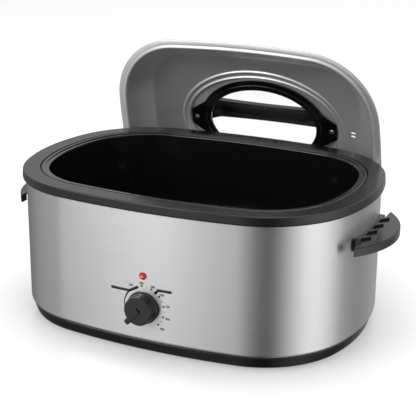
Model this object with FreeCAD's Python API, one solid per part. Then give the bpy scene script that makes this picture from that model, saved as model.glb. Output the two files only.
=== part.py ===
"""Electric roaster oven: steel body, lift-out pan and rack, control knob and lift-off lid.

Millimetres, +Z up, +X to the right seen from the front, front at -Y.
Pieces are drawn about the middle of the body. The whole part is then moved along Y, so that
its origin is on the floor under the middle of everything, with the lid stood up at the back.
"""
import FreeCAD, Part
from collections import namedtuple
import math
import os

V = FreeCAD.Vector
UP = V(0, 0, 1)

# ---- Plan of the body: a rounded rectangle with bowed sides, at the rim's widest line
rim_half_length = 265.7
rim_half_depth = 194.4
rim_side_radius = 966.0
rim_end_radius = 284.0
rim_corner_radius = 146.5

# ---- Heights above the floor
skirt_underside = 3.0
skirt_top = 19.6
rim_underside = 208.9
rim_top = 221.7

# ---- Clearances
seat_gap = 0.3
fit_gap = 0.5
shaft_clearance = 0.05
hole_clearance = 0.3
face_gap = 0.1
bracket_gap = 0.2

# ---- Share of its radius that a pressed corner's middle facet stands away from the sharp corner
corner_share = 0.3

# ---- Heights nearer than this count as level, and cutters reach this far past what they cut
level = 0.001
past = 1.0

# ---- Where an ellipse is divided to match the corners of an outline
ellipse_side_angle = 58.0
ellipse_end_angle = 24.0

# ---- Sheet and wall thicknesses
shell_sheet = 0.6
liner_sheet = 0.6
cover_sheet = 0.8
pan_sheet = 1.0
lid_sheet = 0.8
moulded_wall = 3.0

# ---- Outer shell
shell_inset = 5.4
shell_turn_radius = 5.0
shell_foot_flange = 9.0
shell_tongue = 5.0
wall_cut_reach = 12.0

# ---- Base skirt and bottom cover
skirt_top_inset = 7.5
skirt_taper = 5.5
skirt_ledge = 30.0
boss_radius = 5.0
boss_wall_gap = 1.0
cover_standoff = 2.0
cover_lip = 5.0
cover_inner_turn = 0.8
vent_slot_length = 44.0
vent_slot_width = 4.0
vent_slot_pitch = 13.0
vent_slot_count = 7
vent_row_offset = 62.0

# ---- Feet
foot_radius = 13.0
foot_recess_radius = 7.5
foot_recess_depth = 2.4
screw_radius = 2.0
screw_head_radius = 4.0
screw_head_height = 2.0
screw_head_draft = 0.7
foot_taper = 1.5

# ---- Top rim
rim_flat_width = 26.0
rim_step_depth = 5.0
rim_seat_width = 7.0
rim_edge_round = 1.8
rim_draft = 1.0
rim_step_chamfer = 1.0
rim_skin = 4.0

# ---- Liner
liner_floor = 42.0
liner_draft = 13.0
liner_corner = 12.0
liner_flange_inset = 12.0
liner_rim_gap = 1.2

# ---- Heating band, clips and insulation
band_bottom = 100.0
band_height = 34.0
band_thickness = 4.0
band_break_x = 62.0
band_break_width = 14.0
clip_x = 105.0
clip_width = 10.0
clip_sheet = 1.2
clip_tab = 9.0
clip_step = 2.0
blanket_inset = 16.0
blanket_thickness = 12.0
blanket_bottom = 60.0
blanket_window_side = 20.0
blanket_window_rise = 18.0

# ---- Roasting pan
pan_floor = 62.0
pan_draft = 17.0
pan_corner = 12.0
pan_bead_height = 4.6
pan_bead_width = 5.5
pan_flange_dip = 1.6
pan_flange_width = 11.0
pan_rim_gap = 1.2
pan_bead_round = 1.3
pan_neck_chamfer = 1.5

# ---- Roasting rack
rack_inset = 84.0
rack_height = 15.0
rack_rim_wire = 2.2
rack_wire_radius = 1.7
weld_gap = 0.1
rack_cross_count = 9
rack_wire_overrun = 1.5
rack_handle_rise = 58.0
rack_handle_half_width = 42.0
rack_handle_bend = 12.0
long_wire_share = 0.45
rack_foot_share = 0.6
cross_wire_share = 0.82

# ---- Control knob and dial
knob_x = 0.0
knob_z = 70.7
knob_skirt_radius = 23.5
knob_skirt_height = 4.0
knob_cap_radius = 20.5
knob_cap_draft = 1.4
knob_height = 18.0
knob_gap = 0.8
knob_bar_width = 8.0
knob_bar_rise = 3.6
knob_bar_overhang = 4.5
knob_rest_clock = 222.0
knob_edge = 1.4
knob_wall = 2.8
knob_bar_start = 3.0
knob_bar_nose = 1.8
knob_bore_ease = 0.02
shaft_radius = 3.0
shaft_flat = 0.8
shaft_in_knob = 13.0
shaft_in_body = 13.0
shaft_hole_ease = 2.5
knob_hub_wall = 2.5
knob_hub_gap = 0.5

# ---- Thermostat
thermostat_width = 38.0
thermostat_height = 34.0
thermostat_depth = 15.0
thermostat_bush_radius = 5.0
thermostat_bush_length = 5.5
thermostat_round = 4.0
blade_x = 14.0
blade_rise = 13.5
blade_width = 6.3
blade_thickness = 0.8
blade_length = 6.0
blade_root = 2.0
bracket_sheet = 1.5
bracket_margin = 9.0

# ---- Thermal cut-out under the liner's floor
cutout_radius = 8.0
cutout_height = 6.0
cutout_flange_length = 30.0
cutout_flange_width = 9.0
cutout_flange = 1.0
cutout_blade_width = 4.8
cutout_blade_x = 4.5

# ---- Indicator lamp
lamp_rise = 46.2
lens_radius = 4.4
lens_flange_radius = 5.4
lens_flange = 0.8
lens_dome = 3.4
lens_spigot = 2.2
lens_seat = 0.1
lamp_radius = 3.9
lamp_length = 15.0
lamp_lead_radius = 0.6
lamp_lead_length = 8.0
lamp_lead_x = 1.8

# ---- Side handles
handle_top = 165.0
handle_half_width = 87.0
handle_reach = 34.0
handle_chord_gap = 2.6
handle_plate = 3.0
handle_wall = 2.8
handle_depth = 12.0
handle_edge = 1.6
handle_tip = 13.0
handle_rib = 2.1
handle_rib_inset = 1.0
handle_rib_rise = 3.0
bracket_half_width = 57.0
bracket_top_rise = 4.0
bracket_depth = 20.0
bracket_tooth_count = 4
bracket_tooth_width = 13.0
bracket_tooth_reach = 9.0
bracket_tooth_root = 0.5
bracket_tooth_drop = 1.0
handle_screw_y = 34.0

# ---- Lid rest at the back
rest_x = 95.0
rest_width = 20.0
rest_wall = 2.4
rest_plate_above = 34.0
rest_plate_below = 22.0
rest_gusset_foot = 3.0
rest_lip = 9.0
rest_lip_gap = 4.4
rest_screw_rises = (8.0, 27.0)

# ---- Mains entry
gland_x = 30.0
gland_z = 34.0
gland_radius = 8.0
gland_flange_radius = 11.0
gland_flange = 3.0
gland_barrel = 10.0
gland_bore = 3.8
terminal_length = 26.0
terminal_width = 12.0
terminal_height = 14.0
terminal_offset = 40.0
terminal_well_radius = 2.4
terminal_well_depth = 5.0
terminal_well_x = 6.5
terminal_margin = 1.0
sleeve_width = 6.0
sleeve_height = 3.0
sleeve_end_gap = 0.5
riser_offset = 11.0
riser_radius = 1.6
riser_end_gap = 3.0

# ---- Lid, drawn closed with its flange face at zero height, then stood up at the back
lid_end_inset = 42.9
lid_side_inset = 23.3
lid_side_radius = 1672.0
lid_end_radius = 990.0
lid_corner_radius = 113.7
lid_hem_height = 2.8
lid_hem_width = 2.2
lid_flange_width = 8.4
lid_bead_inset = 12.2
lid_bead_dip = 5.5
lid_shoulder_height = 57.0
lid_shoulder_inset = 51.0
lid_panel_height = 76.0
lid_shoulder_turn = 12.0
lid_lean = 13.6
lid_centre_height = 217.3
lid_rim_gap = 2.3

# ---- Raised steps of the lid's top, as ellipses round the window
outer_step_length = 140.0
outer_step_height = 93.0
outer_step_rise = 3.6
inner_step_length = 131.0
inner_step_height = 82.0
inner_step_rise = 5.0
step_run = 3.2

# ---- Lid window
window_half_length = 93.0
window_half_height = 59.5
opening_margin = 4.0
glass_margin = 8.0
glass_thickness = 4.0
seal_margin = 12.0
seal_lip = 2.0
seal_glass_gap = 0.2
seal_chamfer = 1.0
bezel_margin = 17.0
bezel_thickness = 4.2
bezel_end_x = 128.0
bezel_end_half_height = 13.0
bezel_shoulder_x = 98.0
bezel_shoulder_half_height = 32.0
bezel_bevel = 4.0
bezel_end_cut = 6.0
bezel_end_slope = 4.0
bezel_bead_offset = 8.0
bezel_bead_width = 2.0
bezel_bead_height = 1.2
steam_slot_inset = 63.8
steam_slot_y = -5.0
steam_slot_length = 8.0
steam_slot_width = 2.2
steam_slot_pitch = 6.0

# ---- Lid handle
grip_screw_x = 119.0
grip_foot_length = 20.0
grip_width = 34.0
grip_waist = 27.0
grip_rise = 46.0
grip_bar_thickness = 13.0
grip_edge = 3.0
grip_shoulder = 12.0
grip_shoulder_lean = 5.0
grip_shoulder_run = 20.0
grip_arch_rise = 8.0
grip_arch_lean = 5.0
grip_arch_run = 16.0
grip_groove_end = 20.0
grip_screw_bite = 10.0
grip_hole_depth = 11.0
grip_groove_count = 3
grip_groove_width = 5.0
grip_groove_depth = 6.0

Outline = namedtuple("Outline", "half_length half_depth side_radius end_radius corner_radius")
rim_outline = Outline(rim_half_length, rim_half_depth, rim_side_radius, rim_end_radius, rim_corner_radius)
lid_outline = Outline(rim_half_length - lid_end_inset, rim_half_depth - lid_side_inset,
                      lid_side_radius, lid_end_radius, lid_corner_radius)


# ---- Outlines and sections

def inset(outline, distance):
    """The same outline moved inwards everywhere by a distance."""
    return Outline(*(size - distance for size in outline))


def corner_centre(outline):
    """Centre of the corner arc that is tangent to both bowed sides."""
    side_centre = V(0, outline.half_depth - outline.side_radius, 0)
    end_centre = V(outline.half_length - outline.end_radius, 0, 0)
    side_gap = outline.side_radius - outline.corner_radius
    end_gap = outline.end_radius - outline.corner_radius
    between = end_centre - side_centre
    span = between.Length
    along = (side_gap ** 2 - end_gap ** 2 + span ** 2) / (2 * span)
    across = math.sqrt(side_gap ** 2 - along ** 2)
    unit = between / span
    return side_centre + unit * along + V(unit.y, -unit.x, 0) * across


def corner_points(outline):
    """Start, middle and end of the corner arc."""
    centre = corner_centre(outline)
    to_side = centre - V(0, outline.half_depth - outline.side_radius, 0)
    to_end = centre - V(outline.half_length - outline.end_radius, 0, 0)
    to_side.normalize()
    to_end.normalize()
    to_middle = (to_side + to_end).normalize()
    return [centre + way * outline.corner_radius for way in (to_side, to_middle, to_end)]


def outline_wire(outline, z):
    """Closed wire of the four bowed sides and the four corners."""
    start, middle, end = corner_points(outline)
    length, depth = outline.half_length, outline.half_depth
    turn = [(-start.x, start.y), (0, depth), (start.x, start.y), (middle.x, middle.y),
            (end.x, end.y), (length, 0), (end.x, -end.y), (middle.x, -middle.y),
            (start.x, -start.y), (0, -depth), (-start.x, -start.y), (-middle.x, -middle.y),
            (-end.x, -end.y), (-length, 0), (-end.x, end.y), (-middle.x, middle.y)]
    points = [V(x, y, z) for x, y in turn]
    points.append(points[0])
    return Part.Wire([Part.Arc(*points[i:i + 3]).toShape() for i in range(0, 16, 2)])


def ellipse_wire(half_length, half_height, z):
    """Closed wire of an ellipse in eight arcs, laid out like an outline's sides and corners."""
    ellipse = Part.Ellipse(V(half_length, 0, z), V(0, -half_height, z), V(0, 0, z))
    side, end = math.radians(ellipse_side_angle), math.radians(ellipse_end_angle)
    stops = [side - math.pi, -side, -end, end, side,
             math.pi - side, math.pi - end, math.pi + end, math.pi + side]
    arcs = [Part.ArcOfEllipse(ellipse, first, last).toShape() for first, last in zip(stops, stops[1:])]
    return Part.Wire(arcs)


def positive(solid):
    """The solid with its faces turned outwards."""
    if solid.Volume < 0:
        solid.reverse()
    return solid


def band(first, second):
    """Faces between two wires: flat, upright or sloping."""
    shift = second.BoundBox.ZMin - first.BoundBox.ZMin
    spread = second.BoundBox.XLength - first.BoundBox.XLength
    if abs(shift) < level:
        pair = [first, second] if spread < 0 else [second, first]
        return Part.makeFace(pair, "Part::FaceMakerBullseye").Faces
    if abs(spread) < level:
        return first.extrude(V(0, 0, shift)).Faces
    return Part.makeLoft([first, second], False, True).Faces


def solid_from_bands(wires, caps):
    """Solid between neighbouring wires, closed by the given flat caps."""
    faces = list(caps)
    for first, second in zip(wires, wires[1:]):
        faces.extend(band(first, second))
    shell = Part.makeShell(faces)
    shell.sewShape()
    return positive(Part.makeSolid(shell))


def ring(outline, section):
    """Closed section of (inset, height) points carried round the outline."""
    wires = [outline_wire(inset(outline, distance), z) for distance, z in section]
    return solid_from_bands(wires + wires[:1], [])


def vessel(outline, section):
    """Open section carried round the outline, with a flat floor at its first and last point."""
    wires = [outline_wire(inset(outline, distance), z) for distance, z in section]
    return solid_from_bands(wires, [Part.Face(wires[0]), Part.Face(wires[-1])])


def block(outline, bottom, top):
    """Upright solid over the whole outline."""
    return Part.Face(outline_wire(outline, bottom)).extrude(V(0, 0, top - bottom))


def ellipse_block(half_length, half_height, bottom, top):
    return Part.Face(ellipse_wire(half_length, half_height, bottom)).extrude(V(0, 0, top - bottom))


def ellipse_ring(half_length, half_height, section):
    """Closed section of (offset, height) points carried round an ellipse."""
    wires = [ellipse_wire(half_length + offset, half_height + offset, z) for offset, z in section]
    return solid_from_bands(wires + wires[:1], [])


def slab(points, thickness):
    """Polygon of 3-D points extruded by a vector."""
    return positive(Part.Face(Part.makePolygon(list(points) + [points[0]])).extrude(thickness))


def centred_box(x_size, y_size, z_bottom, z_top, x=0.0, y=0.0):
    return Part.makeBox(x_size, y_size, z_top - z_bottom, V(x - x_size / 2, y - y_size / 2, z_bottom))


def bar_slot(length, width, bottom, top):
    """Upright slot cutter with round ends, long in X, centred on the origin."""
    reach = (length - width) / 2
    middle = centred_box(length - width, width, bottom, top)
    ends = [Part.makeCylinder(width / 2, top - bottom, V(side * reach, 0, bottom)) for side in (-1, 1)]
    return middle.fuse(ends).removeSplitter()


def moved(shape, x, y, z=0.0):
    copy = shape.copy()
    copy.translate(V(x, y, z))
    return copy


def mirrored_x(shape):
    return shape.mirror(V(0, 0, 0), V(1, 0, 0))


def half_depth_at(outline, x):
    """Half depth of the outline at a place along its length, round the corner too."""
    x = abs(x)
    centre = corner_centre(outline)
    if x > corner_points(outline)[0].x:
        return centre.y + math.sqrt(outline.corner_radius ** 2 - (x - centre.x) ** 2)
    drop = outline.side_radius - math.sqrt(outline.side_radius ** 2 - x ** 2)
    return outline.half_depth - drop


def end_reach(outline, y):
    """Half length of the outline at a place along its end."""
    drop = outline.end_radius - math.sqrt(outline.end_radius ** 2 - y ** 2)
    return outline.half_length - drop


def screw(length, head_radius=screw_head_radius, radius=screw_radius):
    """Button-head screw: shank up from the origin, coned head below it."""
    shank = Part.makeCylinder(radius, length)
    crown = head_radius * screw_head_draft
    head = Part.makeCone(crown, head_radius, screw_head_height, V(0, 0, -screw_head_height))
    return shank.fuse(head)


def aimed(shape, position, direction):
    """Shape drawn along +Z, placed at a position and pointed along a direction."""
    copy = shape.copy()
    copy.Placement = FreeCAD.Placement(position, FreeCAD.Rotation(UP, direction))
    return copy


# ---- Places that several pieces share

shell_outline = inset(rim_outline, shell_inset)
shell_inner = inset(shell_outline, shell_sheet)
skirt_outline = inset(rim_outline, skirt_top_inset)
liner_top_inset = rim_flat_width + rim_seat_width + liner_rim_gap
liner_top = rim_underside
pan_seat = rim_top - rim_step_depth
pan_top_inset = rim_flat_width + pan_rim_gap
front_face = -half_depth_at(shell_outline, knob_x)
front_inside = front_face + shell_sheet
cover_underside = skirt_underside + cover_standoff
boss_inset = skirt_top_inset + skirt_taper + moulded_wall + boss_wall_gap + foot_radius
boss_corner = corner_points(inset(rim_outline, boss_inset))[1]
boss_places = [V(sx * boss_corner.x, sy * boss_corner.y, 0) for sx in (-1, 1) for sy in (-1, 1)]
lean = math.radians(lid_lean)
bead_outline = inset(lid_outline, lid_bead_inset)
lid_contact_y = half_depth_at(rim_outline, bead_outline.half_length) + lid_rim_gap
lid_centre_y = (lid_contact_y + lid_bead_dip / math.cos(lean)
                + (rim_top - lid_centre_height) * math.tan(lean))
lamp_z = knob_z + lamp_rise
bracket_screw_z = handle_top + bracket_top_rise - bracket_depth / 2


def liner_slope():
    """Inward lean of the liner's wall for each millimetre down."""
    return liner_draft / (liner_top - liner_floor)


def liner_outer_inset(z):
    """Inset of the liner's outer face, which leans inwards towards its floor."""
    return liner_top_inset + (liner_top - z) * liner_slope()


def stand_lid(shape):
    """Carry a lid piece from its closed drawing position to its place behind the body."""
    turn = FreeCAD.Rotation(V(1, 0, 0), lid_lean - 90.0)
    stood = shape.copy()
    stood.Placement = FreeCAD.Placement(V(0, lid_centre_y, lid_centre_height), turn)
    return stood


# ---- Base

def base_skirt():
    foot_inset = skirt_top_inset + skirt_taper
    inner = foot_inset + moulded_wall
    plate = skirt_top - moulded_wall
    section = [(foot_inset, skirt_underside), (skirt_top_inset, skirt_top),
               (skirt_top_inset + skirt_ledge, skirt_top), (skirt_top_inset + skirt_ledge, plate),
               (inner, plate), (inner, skirt_underside)]
    skirt = ring(rim_outline, section)
    top_of_cover = cover_underside + cover_sheet
    for place in boss_places:
        boss = Part.makeCylinder(boss_radius, plate + past - top_of_cover, V(place.x, place.y, top_of_cover))
        hole = Part.makeCylinder(screw_radius + hole_clearance, skirt_top, V(place.x, place.y, 0))
        skirt = skirt.fuse(boss).cut(hole)
    return skirt


def bottom_cover():
    edge = skirt_top_inset + skirt_taper + moulded_wall + fit_gap
    lip_top = cover_underside + cover_lip
    floor_top = cover_underside + cover_sheet
    turn = cover_inner_turn
    section = [(edge + cover_sheet, cover_underside), (edge, cover_underside + cover_sheet),
               (edge, lip_top), (edge + cover_sheet, lip_top),
               (edge + cover_sheet, floor_top + turn), (edge + cover_sheet + turn, floor_top)]
    cover = vessel(rim_outline, section)
    slot = centred_box(vent_slot_length, vent_slot_width, cover_underside - past, floor_top + past)
    cutters = []
    for row in (-1, 1):
        for index in range(vent_slot_count):
            y = (index - (vent_slot_count - 1) / 2) * vent_slot_pitch
            cutters.append(moved(slot, row * vent_row_offset, y))
    for place in boss_places:
        cutters.append(Part.makeCylinder(screw_radius + hole_clearance, lip_top, V(place.x, place.y, 0)))
    return cover.cut(cutters)


def foot():
    """Rubber foot with a recess for its screw's head, drawn at the origin."""
    body = Part.makeCone(foot_radius - foot_taper, foot_radius, cover_underside)
    recess = Part.makeCylinder(foot_recess_radius, foot_recess_depth)
    hole = Part.makeCylinder(screw_radius + hole_clearance, cover_underside)
    return body.cut(recess).cut(hole)


def foot_screws():
    """Screws up through the feet and the cover into the skirt's bosses."""
    head_z = foot_recess_depth - face_gap
    tip = skirt_top - moulded_wall / 2
    return Part.makeCompound([moved(screw(tip - head_z), p.x, p.y, head_z) for p in boss_places])


# ---- Shell and rim

def outer_shell():
    wall = shell_inset + shell_sheet
    turn = shell_turn_radius
    facet = turn * corner_share
    tongue_top = rim_underside + shell_tongue
    flange = shell_inset + turn + shell_foot_flange
    section = [(shell_inset, tongue_top), (shell_inset, skirt_top + turn),
               (shell_inset + facet, skirt_top + facet), (shell_inset + turn, skirt_top),
               (flange, skirt_top), (flange, skirt_top + shell_sheet),
               (shell_inset + turn, skirt_top + shell_sheet), (wall, skirt_top + turn), (wall, tongue_top)]
    return ring(rim_outline, section).cut(shell_holes())


def across_wall(radius, position, direction):
    """Cutter through the shell's wall only, centred on it."""
    return Part.makeCylinder(radius, 2 * wall_cut_reach, position - direction * wall_cut_reach, direction)


def shell_holes():
    front, rear = V(0, -1, 0), V(0, 1, 0)
    holes = [across_wall(shaft_radius + shaft_hole_ease, V(knob_x, front_face, knob_z), front),
             across_wall(lens_radius + hole_clearance, V(knob_x, front_face, lamp_z), front),
             across_wall(gland_radius + hole_clearance, V(gland_x, -front_face, gland_z), rear)]
    hole = screw_radius + hole_clearance
    for side in (-1, 1):
        for y in (-handle_screw_y, handle_screw_y):
            place = V(side * end_reach(shell_outline, y), y, bracket_screw_z)
            holes.append(across_wall(hole, place, V(side, 0, 0)))
        for z in rest_screw_heights():
            place = V(side * rest_x, half_depth_at(shell_outline, rest_x), z)
            holes.append(across_wall(hole, place, rear))
    return holes


def top_rim():
    edge, chamfer = rim_edge_round, rim_step_chamfer
    step = rim_flat_width
    inner = rim_flat_width + rim_seat_width
    hollow = rim_top - rim_skin
    lip = shell_inset - fit_gap
    post = step - rim_skin
    section = [(0, rim_underside), (rim_draft, rim_top - edge), (rim_draft + edge, rim_top),
               (step - chamfer, rim_top), (step, rim_top - chamfer), (step, pan_seat), (inner, pan_seat),
               (inner, rim_underside),
               (post, rim_underside), (post, hollow), (lip + shell_sheet + 2 * fit_gap, hollow),
               (lip, rim_underside + shell_tongue + fit_gap), (lip, rim_underside)]
    return ring(rim_outline, section)


# ---- Inside the body

def liner():
    low = liner_floor + liner_corner
    wall = liner_outer_inset(low)
    turn = wall + liner_corner
    t = liner_sheet
    section = [(turn, liner_floor), (wall, low), (liner_top_inset, liner_top - t),
               (liner_flange_inset, liner_top - t), (liner_flange_inset, liner_top),
               (liner_top_inset + t, liner_top), (wall + t, low), (turn + t * 0.4, liner_floor + t)]
    return vessel(rim_outline, section)


def heating_band():
    top = band_bottom + band_height
    low_face = liner_outer_inset(band_bottom) - seat_gap
    high_face = liner_outer_inset(top) - seat_gap
    section = [(low_face, band_bottom), (low_face - band_thickness, band_bottom),
               (high_face - band_thickness, top), (high_face, top)]
    band = ring(rim_outline, section)
    gap = Part.makeBox(band_break_width, rim_half_depth, band_height + 2 * past,
                       V(band_break_x - band_break_width / 2, -rim_half_depth, band_bottom - past))
    return band.cut(gap)


def element_clip():
    """Hat-shaped strap over the band, drawn for the rear side at its place along X."""
    top = band_bottom + band_height
    low, high = band_bottom - clip_step, top + clip_step
    near = clip_x - clip_width / 2
    t = clip_sheet
    tab = clip_tab
    crown = half_depth_at(inset(rim_outline, liner_outer_inset(top) - band_thickness - 2 * seat_gap), near)
    crown += seat_gap

    def wall(z):
        return half_depth_at(inset(rim_outline, liner_outer_inset(z)), near) + seat_gap

    profile = [(wall(low - tab), low - tab), (wall(low), low), (crown, low), (crown, high),
               (wall(high), high), (wall(high + tab), high + tab), (wall(high + tab) + t, high + tab),
               (wall(high) + t, high + t), (crown + t, high + t), (crown + t, low - t),
               (wall(low) + t, low - t), (wall(low - tab) + t, low - tab)]
    return slab([V(near, y, z) for y, z in profile], V(clip_width, 0, 0))


def element_clips():
    rear_right = element_clip()
    rear_left = mirrored_x(rear_right)
    front = [piece.mirror(V(0, 0, 0), V(0, 1, 0)) for piece in (rear_right, rear_left)]
    return Part.makeCompound([rear_right, rear_left] + front)


def insulation_blanket():
    inner = blanket_inset + blanket_thickness
    top = liner_top - liner_sheet - seat_gap
    section = [(blanket_inset, blanket_bottom), (blanket_inset, top), (inner, top),
               (inner, blanket_bottom)]
    blanket = ring(rim_outline, section)
    window_width = thermostat_width + 2 * blanket_window_side
    window_top = lamp_z + blanket_window_rise
    window = Part.makeBox(window_width, 2 * inner, window_top - blanket_bottom + past,
                          V(knob_x - window_width / 2, -rim_half_depth, blanket_bottom - past))
    return blanket.cut(window)


def thermostat_back():
    """Depth at which the thermostat's body meets its bracket."""
    return front_inside + seat_gap + thermostat_bush_length + thermostat_depth


def thermostat_body():
    back = thermostat_back()
    face = back - thermostat_depth
    body = Part.makeBox(thermostat_width, thermostat_depth, thermostat_height,
                        V(knob_x - thermostat_width / 2, face, knob_z - thermostat_height / 2))
    upright = [edge for edge in body.Edges if abs(edge.tangentAt(0).y) > 0.9]
    body = body.makeFillet(thermostat_round, upright)
    bush = Part.makeCylinder(thermostat_bush_radius, thermostat_bush_length + past,
                             V(knob_x, face + past, knob_z), V(0, -1, 0))
    bore = Part.makeCylinder(shaft_radius + shaft_clearance, shaft_in_body + past,
                             V(knob_x, front_inside + shaft_in_body, knob_z), V(0, -1, 0))
    blades = [Part.makeBox(blade_width, blade_root + blade_length, blade_thickness,
                           V(knob_x + dx - blade_width / 2, back - blade_root, knob_z + blade_rise))
              for dx in (-blade_x, blade_x)]
    return body.fuse(bush).fuse(blades).cut(bore)


def thermostat_bracket():
    """Hat-shaped bridge of sheet steel from the liner's front wall to the back of the thermostat."""
    half_height = thermostat_height / 2 - bracket_sheet - seat_gap
    low, high = knob_z - half_height, knob_z + half_height
    back = thermostat_back()
    t = bracket_sheet
    foot = bracket_margin

    def wall(z):
        return -half_depth_at(inset(rim_outline, liner_outer_inset(z)), knob_x) - seat_gap

    profile = [(wall(low - foot), low - foot), (wall(low + t), low + t), (back + t, low + t),
               (back + t, high - t), (wall(high - t), high - t), (wall(high + foot), high + foot),
               (wall(high + foot) - t, high + foot), (wall(high) - t, high), (back, high), (back, low),
               (wall(low) - t, low), (wall(low - foot) - t, low - foot)]
    width = thermostat_width / 2
    return slab([V(knob_x - width / 2, y, z) for y, z in profile], V(width, 0, 0))


def thermal_cutout():
    """Small round cut-out clipped flat against the liner's floor."""
    top = liner_floor - seat_gap
    can = Part.makeCylinder(cutout_radius, cutout_height, V(0, 0, top - cutout_height))
    flange = centred_box(cutout_flange_length, cutout_flange_width, top - cutout_flange, top)
    blades = [centred_box(cutout_blade_width, blade_thickness, top - cutout_height - blade_length,
                          top - cutout_height, dx) for dx in (-cutout_blade_x, cutout_blade_x)]
    return can.fuse([flange] + blades)


def indicator_lens():
    """Domed lens with a flange on the steel and a short spigot through it."""
    spigot = Part.makeCylinder(lens_radius, lens_spigot + lens_flange, V(0, 0, -lens_spigot))
    flange = Part.makeCylinder(lens_flange_radius, lens_flange)
    ball_radius = (lens_radius ** 2 + lens_dome ** 2) / (2 * lens_dome)
    ball = Part.makeSphere(ball_radius, V(0, 0, lens_flange + lens_dome - ball_radius))
    dome = ball.common(Part.makeCylinder(lens_flange_radius, lens_dome + past, V(0, 0, lens_flange)))
    lens = spigot.fuse([flange, dome])
    return aimed(lens, V(knob_x, front_face - lens_seat, lamp_z), V(0, -1, 0))


def indicator_lamp():
    holder = Part.makeCylinder(lamp_radius, lamp_length)
    wires = [Part.makeCylinder(lamp_lead_radius, lamp_lead_length + past, V(dx, 0, lamp_length - past))
             for dx in (-lamp_lead_x, lamp_lead_x)]
    lamp = holder.fuse(wires)
    back_of_lens = front_face - lens_seat + lens_spigot
    return aimed(lamp, V(knob_x, back_of_lens + seat_gap, lamp_z), V(0, 1, 0))


# ---- Mains entry and wiring

def power_gland():
    """Bush in the rear wall: flange outside, six-sided nut inside, bore for the cord."""
    wall = half_depth_at(shell_outline, gland_x - gland_flange_radius)
    barrel = Part.makeCylinder(gland_radius, gland_barrel + gland_flange, V(0, 0, -gland_barrel))
    flange = Part.makeCylinder(gland_flange_radius, gland_flange)
    nut_top = -shell_sheet - 4 * seat_gap
    turns = [FreeCAD.Rotation(UP, 60 * index) for index in range(6)]
    corners = [turn.multVec(V(gland_flange_radius, 0, nut_top)) for turn in turns]
    nut = slab(corners, V(0, 0, -gland_flange))
    bore = Part.makeCylinder(gland_bore, 2 * gland_barrel, V(0, 0, gland_flange - 2 * gland_barrel))
    bush = barrel.fuse([flange, nut]).cut(bore)
    return aimed(bush, V(gland_x, wall + seat_gap, gland_z), V(0, 1, 0))


def ledge_y(x, distance):
    return half_depth_at(inset(rim_outline, distance), x)


def wiring_inset():
    """Inset of the line along the skirt's ledge that the terminals and the leads follow."""
    return skirt_top_inset + skirt_ledge - terminal_width / 2 - terminal_margin


def terminal_block():
    """Two-pole ceramic block on the skirt's ledge beside the mains entry."""
    x = gland_x + terminal_offset
    y = ledge_y(x, wiring_inset())
    top = skirt_top + terminal_height
    body = centred_box(terminal_length, terminal_width, skirt_top, top, x, y)
    well_floor = top - terminal_well_depth
    wells = [Part.makeCylinder(terminal_well_radius, terminal_well_depth, V(x + dx, y, well_floor))
             for dx in (-terminal_well_x, terminal_well_x)]
    return body.cut(wells)


def internal_leads():
    """Flat sleeve of leads on the skirt's ledge, from the terminals round to the thermostat."""
    low = skirt_top + seat_gap
    top = low + sleeve_height
    near, far = wiring_inset() - sleeve_width / 2, wiring_inset() + sleeve_width / 2
    sleeve = ring(rim_outline, [(near, low), (near, top), (far, top), (far, low)])
    start_x = gland_x + terminal_offset + terminal_length / 2 + sleeve_end_gap
    riser_x = knob_x + riser_offset
    end_x = riser_x - sleeve_width / 2
    rear = Part.makeBox(2 * rim_half_length, rim_half_depth, 2 * sleeve_height, V(start_x, 0, skirt_top))
    front = Part.makeBox(2 * rim_half_length, rim_half_depth, 2 * sleeve_height,
                         V(end_x, -rim_half_depth, skirt_top))
    run = sleeve.common(rear.fuse(front))
    riser_top = knob_z - thermostat_height / 2 - riser_end_gap
    riser_y = -ledge_y(riser_x, wiring_inset())
    riser = Part.makeCylinder(riser_radius, riser_top - low, V(riser_x, riser_y, low))
    return run.fuse(riser)


# ---- Side handles

def end_chord():
    """Distance of the grip's straight inner edge from the middle of the body."""
    return end_reach(shell_outline, 0) + handle_chord_gap


def handle_plan(inner_x, reach, half_width, z):
    """Half-moon face: straight inner edge and one outer arc."""
    tip = V(inner_x + reach, 0, z)
    rear, front = V(inner_x, half_width, z), V(inner_x, -half_width, z)
    return Part.Face(Part.Wire([Part.makeLine(front, rear), Part.Arc(rear, tip, front).toShape()]))


def side_handle():
    """Half-moon grip: thin top plate with an outer wall that hangs down for the fingers."""
    inner_x = end_chord()
    bottom = handle_top - handle_depth
    body = handle_plan(inner_x, handle_reach, handle_half_width, bottom).extrude(V(0, 0, handle_depth))
    top_arc = [edge for edge in body.Edges
               if edge.BoundBox.ZMin > handle_top - face_gap and edge.BoundBox.XLength > handle_edge]
    body = body.makeChamfer(handle_edge, top_arc)
    cavity_plan = handle_plan(inner_x - past, handle_reach - handle_wall + past,
                              handle_half_width - handle_tip, bottom - past)
    grip = body.cut(cavity_plan.extrude(V(0, 0, handle_depth + past - handle_plate)))
    rib_bottom = bottom + handle_rib_rise
    rib_plan = handle_plan(inner_x, handle_reach - handle_rib_inset, handle_half_width, rib_bottom)
    rib_space = rib_plan.extrude(V(0, 0, handle_top - handle_plate / 2 - rib_bottom))
    for y in (-handle_screw_y, 0, handle_screw_y):
        rib = centred_box(2 * handle_reach, handle_rib, bottom, handle_top, inner_x + handle_reach, y)
        grip = grip.fuse(rib.common(rib_space))
    return grip


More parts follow.
